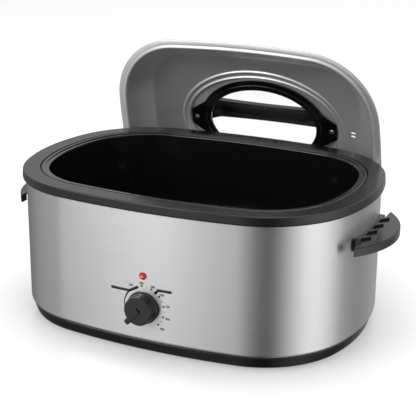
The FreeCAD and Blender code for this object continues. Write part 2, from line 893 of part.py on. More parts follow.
def handle_bracket():
    """Mounting block behind the grip, with teeth that reach out over the plate."""
    top = handle_top + bracket_top_rise
    bottom = top - bracket_depth
    inner_x = end_reach(shell_outline, bracket_half_width) - past
    outer_x = end_chord() - bracket_gap
    body = Part.makeBox(outer_x - inner_x, 2 * bracket_half_width, bracket_depth,
                        V(inner_x, -bracket_half_width, bottom))
    tooth_pitch = 2 * (bracket_half_width - bracket_tooth_width) / (bracket_tooth_count - 1)
    teeth_low = handle_top + bracket_gap
    for index in range(bracket_tooth_count):
        y = -bracket_half_width + bracket_tooth_width + index * tooth_pitch
        root = outer_x - bracket_tooth_root
        corners = [V(root, y - bracket_tooth_width / 2, teeth_low),
                   V(outer_x + bracket_tooth_reach, y + bracket_tooth_width / 2, teeth_low),
                   V(root, y + bracket_tooth_width / 2, teeth_low)]
        body = body.fuse(slab(corners, V(0, 0, top - bracket_tooth_drop - teeth_low)))
    body = body.cut(block(inset(shell_outline, -bracket_gap), bottom - past, top + past))
    for y in (-handle_screw_y, handle_screw_y):
        body = body.cut(Part.makeCylinder(screw_radius + hole_clearance, 2 * handle_reach,
                                          V(inner_x - handle_reach / 2, y, bracket_screw_z), V(1, 0, 0)))
    return body


def handle_screws():
    """Screws from inside the shell into the bracket, two at each end."""
    piece = screw(shell_sheet + seat_gap + handle_chord_gap)
    pieces = []
    for side in (-1, 1):
        for y in (-handle_screw_y, handle_screw_y):
            x = end_reach(shell_inner, abs(y) + screw_head_radius) - seat_gap
            pieces.append(aimed(piece, V(side * x, y, bracket_screw_z), V(side, 0, 0)))
    return Part.makeCompound(pieces)


# ---- Lid rest

def lid_edge_place(x):
    """World position of the stood lid's lowest flange edge at a place along X."""
    v = half_depth_at(lid_outline, x)
    return V(x, lid_centre_y + v * math.sin(lean), lid_centre_height - v * math.cos(lean))


def rest_floor():
    """Height of the rest's arm, just under the lid's flange edge."""
    return lid_edge_place(rest_x - rest_width / 2).z - lid_hem_height * math.sin(lean) - seat_gap


def rest_screw_heights():
    return [rest_floor() + rise for rise in rest_screw_rises]


def lid_rest():
    """Moulded hook: back plate on the shell, wedge-shaped arm and a lip behind the lid's edge."""
    wall = half_depth_at(shell_outline, rest_x - rest_width / 2) - past
    front = half_depth_at(shell_outline, rest_x - rest_width / 2) + rest_wall
    floor = rest_floor()
    top, bottom = floor + rest_plate_above, floor - rest_plate_below
    lip = lid_edge_place(rest_x).y + lid_hem_height + rest_lip_gap
    low = floor - rest_wall
    profile = [(wall, top), (wall, bottom), (front, bottom), (front, bottom + rest_gusset_foot),
               (lip + rest_wall, low), (lip + rest_wall, floor + rest_lip), (lip, floor + rest_lip),
               (lip, floor), (front, floor), (front, top)]
    hook = slab([V(rest_x - rest_width / 2, y, z) for y, z in profile], V(rest_width, 0, 0))
    hook = hook.cut(block(inset(shell_outline, -bracket_gap), bottom - past, top + past))
    for z in rest_screw_heights():
        hole = Part.makeCylinder(screw_radius + hole_clearance, 4 * rest_width,
                                 V(rest_x, wall - rest_width, z), V(0, 1, 0))
        hook = hook.cut(hole)
    return hook


def lid_rest_screws():
    """Screws from inside the shell into the lid rests, two at each side."""
    pieces = []
    piece = screw(shell_sheet + seat_gap + rest_wall)
    for side in (-1, 1):
        for z in rest_screw_heights():
            y = half_depth_at(shell_inner, rest_x + screw_head_radius) - seat_gap
            pieces.append(aimed(piece, V(side * rest_x, y, z), V(0, 1, 0)))
    return Part.makeCompound(pieces)


# ---- Knob

def turned_to_front(shape, clock, position):
    """Shape drawn face up along +Z, faced forwards with its local +Y at a clock angle from the top."""
    copy = shape.copy()
    turn = FreeCAD.Rotation(V(1, 0, 0), 90).multiply(FreeCAD.Rotation(UP, -clock))
    copy.Placement = FreeCAD.Placement(position, turn)
    return copy


def knob_base_y():
    return front_face - knob_gap


def control_knob():
    """Two-tier knob: skirt, tapered cap and a pointer bar that reaches past the cap."""
    hub = shaft_radius + knob_hub_wall
    hollow = knob_skirt_height + knob_wall
    inner = knob_cap_radius - knob_wall
    crown = knob_height
    edge = knob_edge
    half_section = [(0, knob_hub_gap), (hub, knob_hub_gap), (hub, hollow), (inner, hollow),
                    (inner, 0), (knob_skirt_radius, 0),
                    (knob_skirt_radius, knob_skirt_height - edge),
                    (knob_skirt_radius - edge, knob_skirt_height),
                    (knob_cap_radius + knob_cap_draft, knob_skirt_height),
                    (knob_cap_radius, crown - edge), (knob_cap_radius - edge, crown), (0, crown)]
    points = [V(r, 0, z) for r, z in half_section]
    body = Part.Face(Part.makePolygon(points + points[:1])).revolve(V(0, 0, 0), UP, 360)
    socket = Part.makeCylinder(shaft_radius + knob_bore_ease, shaft_in_knob + fit_gap)
    knob = positive(body).fuse(knob_bar()).cut(socket)
    return turned_to_front(knob, knob_rest_clock, V(knob_x, knob_base_y(), knob_z))


def knob_bar_plan(inwards, z):
    """Outline of the pointer bar at one height, narrower by a distance all round."""
    tip = knob_cap_radius + knob_bar_overhang - inwards
    back = -knob_bar_start + inwards
    half = knob_bar_width / 2 - inwards
    nose = min(knob_bar_nose, half - level)
    corners = [V(-half, back, z), V(half, back, z), V(half, tip - nose, z), V(half - nose, tip, z),
               V(-half + nose, tip, z), V(-half, tip - nose, z)]
    return Part.makePolygon(corners + corners[:1])


def knob_bar():
    top = knob_height + knob_bar_rise
    plans = [knob_bar_plan(0, knob_skirt_height + past), knob_bar_plan(0, top - knob_edge),
             knob_bar_plan(knob_edge, top)]
    return Part.makeLoft(plans, True, True)


def knob_shaft():
    """D-shaft from the thermostat's bush out into the knob's hub."""
    start = front_inside + shaft_in_body - seat_gap
    end = knob_base_y() - shaft_in_knob
    shaft = Part.makeCylinder(shaft_radius, start - end, V(knob_x, start, knob_z), V(0, -1, 0))
    flat = Part.makeBox(4 * shaft_radius, shaft_in_knob, 2 * shaft_radius,
                        V(knob_x - 2 * shaft_radius, end, knob_z + shaft_radius - shaft_flat))
    return shaft.cut(flat)


# ---- Pan and rack

def roasting_pan():
    seat = pan_seat + seat_gap
    bead_top = seat + pan_bead_height
    low = pan_floor + pan_corner
    wall_top = pan_top_inset + pan_flange_width
    wall_low = wall_top + pan_draft
    t = pan_sheet
    edge, turn, neck = pan_top_inset, pan_bead_round, pan_neck_chamfer
    dip = bead_top - pan_flange_dip
    facet = pan_corner * corner_share
    section = [(wall_low + pan_corner, pan_floor), (wall_low + facet, pan_floor + facet),
               (wall_low, low), (wall_top, seat), (edge, seat), (edge, bead_top - turn),
               (edge + turn, bead_top), (edge + pan_bead_width - turn, bead_top),
               (edge + pan_bead_width, dip), (wall_top + t - neck, dip), (wall_top + t, dip - neck),
               (wall_low + t, low), (wall_low + facet + t * 0.7, pan_floor + facet + t * 0.7),
               (wall_low + pan_corner, pan_floor + t)]
    return vessel(rim_outline, section)


def rack_level():
    """Height of the rack's rim wire."""
    return pan_floor + pan_sheet + rack_height


def rack_handle(x):
    """Upright wire loop at one end of the rack: two legs, two quarter bends and a bar."""
    base = rack_level()
    top = base + rack_handle_rise
    half, bend, r = rack_handle_half_width, rack_handle_bend, rack_wire_radius
    bar = Part.makeCylinder(r, 2 * (half - bend), V(x, bend - half, top), V(0, 1, 0))
    parts = []
    for side in (-1, 1):
        parts.append(Part.makeCylinder(r, top - bend - base, V(x, side * half, base)))
        end = Part.Face(Part.Wire([Part.makeCircle(r, V(x, side * half, top - bend), UP)]))
        parts.append(positive(end.revolve(V(x, side * (half - bend), top - bend), V(side, 0, 0), 90)))
    return bar.fuse(parts)


def roasting_rack():
    """Bowed rim wire with two long wires under it, four feet and an upright loop at each end."""
    z = rack_level()
    d, w = rack_inset, rack_rim_wire
    rim = ring(rim_outline, [(d, z - w), (d - w, z), (d, z + w), (d + w, z)])
    r = rack_wire_radius
    outline = inset(rim_outline, d)
    foot_low = pan_floor + pan_sheet + seat_gap
    pieces = []
    for y in (-outline.half_depth * long_wire_share, outline.half_depth * long_wire_share):
        x = end_reach(outline, y) + rack_wire_overrun
        pieces.append(Part.makeCylinder(r, 2 * x, V(-x, y, z - r - weld_gap), V(1, 0, 0)))
        for side in (-1, 1):
            pieces.append(Part.makeCylinder(r, z - r - foot_low, V(side * x * rack_foot_share, y, foot_low)))
    handle_x = end_reach(outline, rack_handle_half_width)
    pieces.extend([rack_handle(handle_x), rack_handle(-handle_x)])
    return rim.fuse(pieces)


def rack_cross_wires():
    """Straight wires that lie across the rim wire, evenly spaced along the rack."""
    z = rack_level() + rack_rim_wire + rack_wire_radius + weld_gap
    outline = inset(rim_outline, rack_inset)
    reach = outline.half_length * cross_wire_share
    wires = []
    for index in range(rack_cross_count):
        x = -reach + 2 * reach * index / (rack_cross_count - 1)
        y = half_depth_at(outline, x) + rack_wire_overrun
        wires.append(Part.makeCylinder(rack_wire_radius, 2 * y, V(x, -y, z), V(0, 1, 0)))
    return Part.makeCompound(wires)


# ---- Lid, drawn closed

def window_panel_wires(lift, spread):
    """Ellipses of the two steps round the window, from the shoulder up to the panel's opening."""
    panel = lid_panel_height + lift
    inner_foot = panel - inner_step_rise
    outer_top = inner_foot - step_run * 0.5
    outer_foot = outer_top - outer_step_rise
    opening = opening_margin
    return [ellipse_wire(window_half_length + opening, window_half_height + opening, panel),
            ellipse_wire(inner_step_length - step_run + spread, inner_step_height - step_run + spread, panel),
            ellipse_wire(inner_step_length + spread, inner_step_height + spread, inner_foot),
            ellipse_wire(outer_step_length - step_run + spread, outer_step_height - step_run + spread,
                         outer_top),
            ellipse_wire(outer_step_length + spread, outer_step_height + spread, outer_foot)]


def lid_shell():
    """Drawn dome: rolled hem, flange, bead that dips into the pan, wall, shoulder and stepped panel."""
    t = lid_sheet
    shoulder, shoulder_in = lid_shoulder_height, lid_shoulder_inset
    bead, dip = lid_bead_inset, lid_bead_dip
    wall_foot = bead + 1.4
    flange, hem = lid_flange_width, lid_hem_height
    turn = lid_shoulder_turn
    outside = [(shoulder_in, shoulder + t), (shoulder_in - turn * 0.55, shoulder - turn * 0.28 + t),
               (shoulder_in - turn, shoulder - turn + t), (wall_foot, 0.0), (bead + 0.4, t - dip),
               (bead - 0.6, t - dip), (flange, t), (lid_hem_width, t), (lid_hem_width, hem), (0, hem)]
    inside = [(0, 0), (flange - t, 0), (bead - 1.2, -dip), (bead + 0.8, -dip), (wall_foot + t, 0.0),
              (shoulder_in - turn + 0.9 * t, shoulder - turn),
              (shoulder_in - turn * 0.55 + 0.5 * t, shoulder - turn * 0.28),
              (shoulder_in + 0.2 * t, shoulder)]
    wires = window_panel_wires(t, 0.4 * t)
    wires += [outline_wire(inset(lid_outline, distance), z) for distance, z in outside + inside]
    wires += reversed(window_panel_wires(0, 0))
    dome = solid_from_bands(wires + wires[:1], [])
    slot = bar_slot(steam_slot_length, steam_slot_width, shoulder - turn, lid_panel_height)
    slot_x = lid_outline.half_length - steam_slot_inset
    slots = [moved(slot, slot_x, steam_slot_y + row * steam_slot_pitch / 2) for row in (-1, 1)]
    holes = [Part.makeCylinder(screw_radius + hole_clearance, t + 2 * past,
                               V(side * grip_screw_x, 0, lid_panel_height - past)) for side in (-1, 1)]
    return dome.cut(slots + holes)


def glass_floor():
    return lid_panel_height + lid_sheet + seat_gap


def lid_glass():
    floor = glass_floor()
    return ellipse_block(window_half_length + glass_margin, window_half_height + glass_margin,
                         floor, floor + glass_thickness)


def glass_seal():
    """Angle-shaped ring over the edge of the glass, outside the panel."""
    low = lid_panel_height + lid_sheet + face_gap
    glass_top = glass_floor() + glass_thickness + seal_glass_gap
    top = glass_top + seal_lip
    inner, outer = glass_margin + seat_gap, seal_margin
    section = [(inner, low), (outer, low), (outer - seal_chamfer, top), (opening_margin + seal_chamfer, top),
               (opening_margin, glass_top), (inner, glass_top)]
    return ellipse_ring(window_half_length, window_half_height, section)


def bezel_plate_plan(inwards, z):
    """Six-cornered outline of the bezel's two end plates at one height."""
    shoulder_x, shoulder = bezel_shoulder_x, bezel_shoulder_half_height - inwards
    end_x, end = bezel_end_x - inwards, bezel_end_half_height - inwards * 0.5
    quarter = [(shoulder_x, shoulder), (end_x - bezel_end_cut, end + bezel_end_slope), (end_x, end)]
    right = quarter + [(x, -y) for x, y in reversed(quarter)]
    left = [(-x, -y) for x, y in right]
    corners = [V(x, y, z) for x, y in right + left]
    return Part.makePolygon(corners + corners[:1])


def window_bezel():
    """Inner frame of the window with a bevelled plate at each end for the handle's screws."""
    top = lid_panel_height - seat_gap
    low = top - bezel_thickness
    frame = ellipse_block(window_half_length + bezel_margin, window_half_height + bezel_margin, low, top)
    plate = Part.makeLoft([bezel_plate_plan(0, low), bezel_plate_plan(bezel_bevel, top)], True, True)
    opening = ellipse_block(window_half_length, window_half_height, low - past, top + past)
    edge, half, bead_root = bezel_bead_offset, bezel_bead_width / 2, bezel_thickness / 8
    bead = ellipse_ring(window_half_length, window_half_height,
                        [(edge - half, low + bead_root), (edge + half, low + bead_root),
                         (edge, low - bezel_bead_height)])
    frame = frame.fuse(positive(plate)).cut(opening).fuse(bead)
    holes = [Part.makeCylinder(screw_radius + hole_clearance, bezel_thickness + 2 * past,
                               V(side * grip_screw_x, 0, low - past)) for side in (-1, 1)]
    return frame.cut(holes)


def lid_handle():
    """Bridge handle over the window: two feet on the panel and a grooved bar between them."""
    base = lid_panel_height + lid_sheet + face_gap
    top = base + grip_rise
    under = top - grip_bar_thickness
    outer_x = grip_screw_x + grip_foot_length / 2
    inner_x = grip_screw_x - grip_foot_length / 2
    right = [(outer_x, base), (outer_x - grip_shoulder_lean, top - grip_shoulder),
             (outer_x - grip_shoulder_run, top)]
    arch_under = [(inner_x - grip_arch_run, under), (inner_x - grip_arch_lean, under - grip_arch_rise),
                  (inner_x, base)]
    left = [(-x, z) for x, z in reversed(right)]
    left_under = [(-x, z) for x, z in reversed(arch_under)]
    profile = [V(x, -grip_width / 2, z) for x, z in right + left + left_under + arch_under]
    arch = slab(profile, V(0, grip_width, 0))
    half, waist = grip_width / 2, grip_waist / 2
    rear = Part.Arc(V(outer_x, half, 0), V(0, waist, 0), V(-outer_x, half, 0)).toShape()
    front = Part.Arc(V(-outer_x, -half, 0), V(0, -waist, 0), V(outer_x, -half, 0)).toShape()
    ends = [Part.makeLine(V(-outer_x, half, 0), V(-outer_x, -half, 0)),
            Part.makeLine(V(outer_x, -half, 0), V(outer_x, half, 0))]
    plan = Part.Face(Part.Wire([rear, ends[0], front, ends[1]])).extrude(V(0, 0, 2 * top))
    grip = arch.common(plan)
    long_edges = [edge for edge in grip.Edges
                  if edge.BoundBox.ZMin > top - face_gap and edge.BoundBox.XLength > outer_x]
    grip = grip.makeChamfer(grip_edge, long_edges)
    pitch = (grip_waist - 2 * grip_groove_width) / (grip_groove_count - 1)
    groove_length = 2 * (inner_x - grip_groove_end)
    for index in range(grip_groove_count):
        y = (index - (grip_groove_count - 1) / 2) * pitch
        grip = grip.cut(centred_box(groove_length, grip_groove_width, under - past,
                                    under + grip_groove_depth, 0, y))
    holes = [Part.makeCylinder(screw_radius + knob_bore_ease, grip_hole_depth + past,
                               V(side * grip_screw_x, 0, base - past)) for side in (-1, 1)]
    return grip.cut(holes)


def lid_handle_screws():
    low = lid_panel_height - seat_gap - bezel_thickness - face_gap
    piece = screw(bezel_thickness + lid_sheet + grip_screw_bite)
    return Part.makeCompound([moved(piece, side * grip_screw_x, 0, low) for side in (-1, 1)])


# ---- Export

def body_pieces():
    handle, bracket, rest = side_handle(), handle_bracket(), lid_rest()
    feet = Part.makeCompound([moved(foot(), place.x, place.y) for place in boss_places])
    return {
        "base_skirt": base_skirt(),
        "bottom_cover": bottom_cover(),
        "feet": feet,
        "foot_screws": foot_screws(),
        "outer_shell": outer_shell(),
        "top_rim": top_rim(),
        "liner": liner(),
        "heating_band": heating_band(),
        "element_clips": element_clips(),
        "insulation_blanket": insulation_blanket(),
        "thermostat_body": thermostat_body(),
        "thermostat_bracket": thermostat_bracket(),
        "thermal_cutout": thermal_cutout(),
        "indicator_lens": indicator_lens(),
        "indicator_lamp": indicator_lamp(),
        "power_gland": power_gland(),
        "terminal_block": terminal_block(),
        "internal_leads": internal_leads(),
        "handle_right": handle,
        "handle_left": mirrored_x(handle),
        "handle_bracket_right": bracket,
        "handle_bracket_left": mirrored_x(bracket),
        "handle_screws": handle_screws(),
        "lid_rest_right": rest,
        "lid_rest_left": mirrored_x(rest),
        "lid_rest_screws": lid_rest_screws(),
    }


def moving_pieces():
    drawn_lid = {
        "lid_shell": lid_shell(),
        "lid_glass": lid_glass(),
        "glass_seal": glass_seal(),
        "window_bezel": window_bezel(),
        "lid_handle": lid_handle(),
        "lid_handle_screws": lid_handle_screws(),
    }
    stood_lid = {name: stand_lid(shape) for name, shape in drawn_lid.items()}
    return {
        "control_knob": control_knob(),
        "knob_shaft": knob_shaft(),
        "roasting_pan": roasting_pan(),
        "roasting_rack": roasting_rack(),
        "rack_cross_wires": rack_cross_wires(),
        **stood_lid,
    }


def depth_middle(pieces):
    """Middle of the whole part from its front to its back, where the origin goes."""
    boxes = [shape.optimalBoundingBox(False, False) for shape in pieces.values()]
    return (min(box.YMin for box in boxes) + max(box.YMax for box in boxes)) / 2


def main():
    os.makedirs("parts", exist_ok=True)
    pieces = {**body_pieces(), **moving_pieces()}
    middle = depth_middle(pieces)
    for name, shape in pieces.items():
        moved(shape, 0, -middle).exportStep("parts/" + name + ".step")


main()
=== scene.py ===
"""Gives the roaster oven its finished surfaces and sets it on a pale studio floor.

Lengths are in metres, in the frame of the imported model. MM turns a size in millimetres into metres.
"""
import bpy
import bmesh
import math
from collections import namedtuple
from mathutils import Matrix, Vector


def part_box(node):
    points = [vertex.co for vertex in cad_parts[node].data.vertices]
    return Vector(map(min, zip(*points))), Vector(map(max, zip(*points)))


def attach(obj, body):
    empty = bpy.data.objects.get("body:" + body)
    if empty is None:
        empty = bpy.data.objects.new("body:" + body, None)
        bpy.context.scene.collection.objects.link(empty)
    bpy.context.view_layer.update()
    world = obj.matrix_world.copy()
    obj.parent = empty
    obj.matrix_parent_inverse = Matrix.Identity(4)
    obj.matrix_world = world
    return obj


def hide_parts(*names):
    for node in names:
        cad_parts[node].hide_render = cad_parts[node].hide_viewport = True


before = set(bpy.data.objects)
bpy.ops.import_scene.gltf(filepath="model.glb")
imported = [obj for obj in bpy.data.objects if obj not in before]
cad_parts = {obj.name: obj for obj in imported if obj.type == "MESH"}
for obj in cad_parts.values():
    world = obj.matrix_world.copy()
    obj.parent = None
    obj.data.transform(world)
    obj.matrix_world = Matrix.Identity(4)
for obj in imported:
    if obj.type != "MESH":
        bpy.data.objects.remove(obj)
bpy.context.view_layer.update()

bl_info = {
    "name": "Roaster Oven Finish",
    "version": (1, 0, 0),
    "blender": (4, 5, 0),
    "location": "3D View > Sidebar > Roaster",
    "description": "Builds the visible surfaces, markings and studio of an electric roaster oven",
    "category": "Object",
}

MM = 0.001
WHITE = (1, 1, 1, 1)

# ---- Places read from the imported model
RIM_LOW, RIM_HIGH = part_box("top_rim")
SKIRT_LOW, SKIRT_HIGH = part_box("base_skirt")
SHELL_LOW, SHELL_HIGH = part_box("outer_shell")
PAN_LOW, PAN_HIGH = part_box("roasting_pan")
SHAFT_LOW, SHAFT_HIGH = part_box("knob_shaft")
LENS_LOW, LENS_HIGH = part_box("indicator_lens")
GLASS_LOW, GLASS_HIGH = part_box("lid_glass")
LID_HALF_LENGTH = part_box("lid_shell")[1].x
BODY_Y = (RIM_LOW.y + RIM_HIGH.y) / 2
DIAL_Z = (SHAFT_LOW.z + SHAFT_HIGH.z) / 2

# ---- Plans: half length, half depth, and the radii of side, end and corner
Plan = namedtuple("Plan", "half_length half_depth side end corner")
BODY_PLAN = Plan(RIM_HIGH.x, RIM_HIGH.y - BODY_Y, 966 * MM, 284 * MM, 146.5 * MM)
LID_MARGIN = 23.3 * MM
LID_PLAN = Plan(LID_HALF_LENGTH, BODY_PLAN.half_depth - LID_MARGIN, 1672 * MM, 990 * MM, 113.7 * MM)
END_STEPS, CORNER_STEPS, SIDE_STEPS = 12, 26, 18
ROUND_STEPS, DISC_STEPS, HALF_ROUND_STEPS, STRIP_STEPS = 5, 24, 8, 8
SIDE_SHARE = 0.48

# ---- Where noise mostly lies
NOISE_SPAN = (0.3, 0.7)

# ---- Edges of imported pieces
WELD_DISTANCE = 0.002 * MM
BEVEL_ANGLE, BEVEL_SEGMENTS = math.radians(32), 3
NORMAL_WEIGHT = 80
SHARP, SCREW_ROUND, LENS_ROUND = 0.0, 0.25 * MM, 0.2 * MM
FRAME_ROUND, KNOB_ROUND, GRIP_ROUND = 0.4 * MM, 0.45 * MM, 0.8 * MM

# ---- Body, its insets taken from the rim's outline
SHELL_INSET = BODY_PLAN.half_length - SHELL_HIGH.x
SHELL_SHEET = 0.6 * MM
SHELL_TURN = 5.0 * MM
SHELL_FLANGE = 14.0 * MM
SHELL_EDGE = 0.3 * MM
SKIRT_INSET = BODY_PLAN.half_length - SKIRT_HIGH.x
SKIRT_TAPER = 5.5 * MM
SKIRT_WALL = 3.0 * MM
SKIRT_LEDGE = 30.0 * MM
LEDGE_EDGE, LEDGE_CORNER = 0.4 * MM, 1.0 * MM
RIM_FLAT = 26.0 * MM
RIM_STEP = 5.0 * MM
RIM_SEAT = 7.0 * MM
RIM_SKIN = 4.0 * MM
RIM_HEM_INSET, RIM_HEM_HEIGHT = 0.4 * MM, 2.0 * MM
RIM_DRAFT = 0.9 * MM
RIM_LAP = 0.5 * MM
RIM_LIP_WIDTH, RIM_LIP_HEIGHT = 2.0 * MM, 5.5 * MM
SEAT_ROUND_SHARE = 1.6

# ---- Pan
PAN_INSET = BODY_PLAN.half_length - PAN_HIGH.x
PAN_FLANGE = 11.0 * MM
PAN_DRAFT = 17.0 * MM
PAN_SHEET = 1.0 * MM
PAN_BEAD = 5.5 * MM
PAN_BEAD_HEIGHT, PAN_BEAD_DROP = 4.6 * MM, 1.6 * MM
PAN_CORNER = 12.0 * MM
PAN_FLOOR_EDGE = 30.0 * MM

# ---- Lid, drawn closed about its own origin and then stood up
LID_LEAN = math.radians(13.6)
LID_PANEL = 76.0 * MM
LID_SHEET = 0.8 * MM
HEM_WIDTH, HEM_HEIGHT = 2.2 * MM, 2.8 * MM
FLANGE_WIDTH = 8.4 * MM
BEAD_INSET, BEAD_DIP = 12.2 * MM, 1.8 * MM
WALL_FOOT = BEAD_INSET + 1.4 * MM
SHOULDER_INSET, SHOULDER_HEIGHT, SHOULDER_TURN = 51.0 * MM, 57.0 * MM, 12.0 * MM
# How far in the inner skin lies, in sheets: at the wall's top and at the shoulder's end
SLOPE_SHARE, END_SHARE = 0.9, 0.2
GLASS_GAP, GLASS_THICKNESS = 0.3 * MM, 4.0 * MM
GLASS_FLOOR = LID_PANEL + LID_SHEET + GLASS_GAP
WINDOW_LENGTH, WINDOW_HEIGHT = 93.0 * MM, 59.5 * MM
OPENING_MARGIN = 4.0 * MM
OUTER_STEP, OUTER_RISE = (140 * MM, 93 * MM), 3.6 * MM
INNER_STEP, INNER_RISE = (132 * MM, 82 * MM), 5.0 * MM
STEP_RUN = 4.0 * MM
STEP_SPREAD = 0.4
RIDGE_HALF_WIDTH, RIDGE_HEIGHT, RIDGE_STEPS = 2.0 * MM, 1.3 * MM, 6
SLOT_LENGTH, SLOT_WIDTH, SLOT_PITCH = 8.0 * MM, 2.2 * MM, 6.0 * MM
SLOT_INSET, SLOT_Y = 63.8 * MM, -5.0 * MM
SLOT_CUT = 30.0 * MM

# ---- Dial: angles are clockwise from the top, in degrees
DIAL_RADIUS = 31.4 * MM
DIAL_MARKS = ((-4, "200"), (24, "250"), (51, "300"), (79, "350"), (107, "400"), (134, "450"))
FIRST_NUMBER = (-33, "150")
NUMBER_GAP, NUMBER_GAP_GROWTH = 3.6 * MM, 2.7 * MM
NUMBER_WEIGHT = 0.16 * MM
SMALL_DOT_SHARE = 0.5
ARC_FIRST, ARC_LAST, ARC_STEPS = 249, 312, 28
ARC_INSET = 1.5 * MM
ARC_THIN, ARC_THICK = 0.3 * MM, 1.2 * MM
BARS_MM = {"dial_bar_left": ((-49, 21.4), (-21.5, 21.2), (-9, 28.2)),
           "dial_bar_right": ((18.5, 24), (22.8, 29), (41.4, 29))}
BAR_HALF_WIDTH = 2.0 * MM
PRINT_LIFT = 0.05 * MM

# ---- Lens: its lamp lies along it, so the glow is wider than it is high
GLOW_SQUEEZE = (0.55, 0.0, 1.25)
GLOW_REACH = (0.2 * MM, 1.9 * MM)

# ---- Studio: the ring's brightness by angle from the front towards the right
STUDIO_RING = ((-180, 0.44), (-140, 0.17), (-60, 0.55), (-22, 1.02), (28, 0.13), (82, 1.66),
               (143, 0.37), (180, 0.46))
RING_TURN = math.radians(90)
STUDIO_PEAK = max(level for _, level in STUDIO_RING)
STUDIO_CEILING, CEILING_HEIGHTS = 0.85, (0.0, 0.38)
STUDIO_TABLE, TABLE_HEIGHTS = 0.3, (-0.62, -0.40)
FLOOR_REACH, FLOOR_STEPS = 12.0, 24
FLOOR_SHADOW_REACH, FLOOR_SHADOW_DEPTH = 0.15, 0.1
FLOOR_GLOW, FLOOR_GLOW_SHARE = 1.4, 0.3
# Each lamp's place, target, length and width, and watts
LAMPS = {"key": ((-1.25, -2.0, 1.2), (0, 0.1, 0.2), (1.4, 1.0), 26),
         "top": ((0.3, 0.5, 2.5), (0, 0, 0), (2.4, 2.4), 22)}

# ---- Camera, about the middle of the body
IMAGE_WIDTH = 416
CAMERA_AZIMUTH, CAMERA_HEIGHT, CAMERA_ROLL = 25.0, 18.6, 0.4
CAMERA_DISTANCE, CAMERA_FAR = 1.6884, 100
CAMERA_TARGET = Vector((-0.0004, BODY_Y + 0.0210, 0.1496))
CAMERA_LENS, CAMERA_SENSOR = 96.9, 36.0
CAMERA_SHIFT = (-0.6 / IMAGE_WIDTH, 0.7 / IMAGE_WIDTH)


# ---- Plans and sections

def hex_colour(text):
    """Linear colour of an sRGB hex value."""
    channels = [int(text[i:i + 2], 16) / 255 for i in (1, 3, 5)]
    return [c / 12.92 if c <= 0.04045 else ((c + 0.055) / 1.055) ** 2.4 for c in channels]


def quarter_plan(plan):
    """Points and outward normals of a plan's first quarter, from the end to the side."""
    end_centre = Vector((plan.half_length - plan.end, 0))
    side_centre = Vector((0, plan.half_depth - plan.side))
    end_gap, side_gap = plan.end - plan.corner, plan.side - plan.corner
    between = end_centre - side_centre
    along = (side_gap ** 2 - end_gap ** 2 + between.length_squared) / (2 * between.length)
    across = math.sqrt(side_gap ** 2 - along ** 2)
    unit = between.normalized()
    corner_centre = side_centre + unit * along + Vector((unit.y, -unit.x)) * across
    to_end = corner_centre - end_centre
    to_side = corner_centre - side_centre
    first, second = math.atan2(to_end.y, to_end.x), math.atan2(to_side.y, to_side.x)
    arcs = [(end_centre, plan.end, 0, first, END_STEPS),
            (corner_centre, plan.corner, first, second, CORNER_STEPS),
            (side_centre, plan.side, second, math.pi / 2, SIDE_STEPS)]
    rows = []
    for centre, radius, start, stop, steps in arcs:
        for step in range(steps):
            angle = start + (stop - start) * step / steps
            normal = Vector((math.cos(angle), math.sin(angle)))
            rows.append((centre + normal * radius, normal))
    return rows


def plan_rows(plan):
    """Points and normals all the way round a plan, anticlockwise from +X."""
    quarter = quarter_plan(plan)
    apex = (Vector((0, plan.half_depth)), Vector((0, 1)))
    half = quarter + [apex] + [flipped(row, -1, 1) for row in reversed(quarter[1:])]
    left_end = [flipped(quarter[0], -1, 1)]
    lower = [flipped(row, 1, -1) for row in reversed(half[1:])]
    return half + left_end + lower


def flipped(row, x_sign, y_sign):
    """Point and normal mirrored by the signs."""
    return tuple(Vector((v.x * x_sign, v.y * y_sign)) for v in row)


def plan_ring(rows, inset, z):
    """Ring of 3-D points on a plan moved inwards by an inset."""
    return [Vector((p.x - n.x * inset, p.y - n.y * inset, z)) for p, n in rows]


def ellipse_ring(rows, half_length, half_height, z):
    """Ring of points on an ellipse, each in line with the plan's point and the centre."""
    ring = []
    for p, _ in rows:
        share = 1 / math.hypot(p.x / half_length, p.y / half_height)
        ring.append(Vector((p.x * share, p.y * share, z)))
    return ring


def rounded(section, closed=True):
    """Section of (inset, height, radius) corners, each drawn as an arc of its radius."""
    points = []
    count = len(section)
    for index, (u, v, radius) in enumerate(section):
        here = Vector((u, v))
        at_end = not closed and index in (0, count - 1)
        if radius <= 0 or at_end:
            points.append(here)
            continue
        before = Vector(section[index - 1][:2]) - here
        after = Vector(section[(index + 1) % count][:2]) - here
        half = before.angle(after) / 2
        reach = min(radius / math.tan(half), SIDE_SHARE * min(before.length, after.length))
        middle = (before.normalized() + after.normalized()).normalized()
        centre = here + middle * (reach / math.cos(half))
        start = here + before.normalized() * reach - centre
        stop = here + after.normalized() * reach - centre
        turn = start.angle(stop)
        for step in range(ROUND_STEPS + 1):
            share = step / ROUND_STEPS
            points.append(centre + (start * math.sin((1 - share) * turn)
                                    + stop * math.sin(share * turn)) / math.sin(turn))
    return points


# ---- Meshes

def loft_faces(ring_count, size, closed):
    """Quads between neighbouring rings, and end faces where the loft isn't closed."""
    faces = []
    spans = ring_count if closed else ring_count - 1
    for i in range(spans):
        low, high = i * size, ((i + 1) % ring_count) * size
        for j in range(size):
            k = (j + 1) % size
            faces.append((low + j, low + k, high + k, high + j))
    if not closed:
        faces.append(tuple(range(size)))
        faces.append(tuple((ring_count - 1) * size + j for j in range(size)))
    return faces


def placed(name, data):
    """New object in the scene."""
    item = bpy.data.objects.new(name, data)
    bpy.context.scene.collection.objects.link(item)
    return item


def outward_mesh(name, verts, faces):
    """Mesh whose faces all look outwards."""
    mesh = bpy.data.meshes.new(name)
    mesh.from_pydata(verts, [], faces)
    work = bmesh.new()
    work.from_mesh(mesh)
    bmesh.ops.recalc_face_normals(work, faces=work.faces)
    work.to_mesh(mesh)
    work.free()
    return mesh


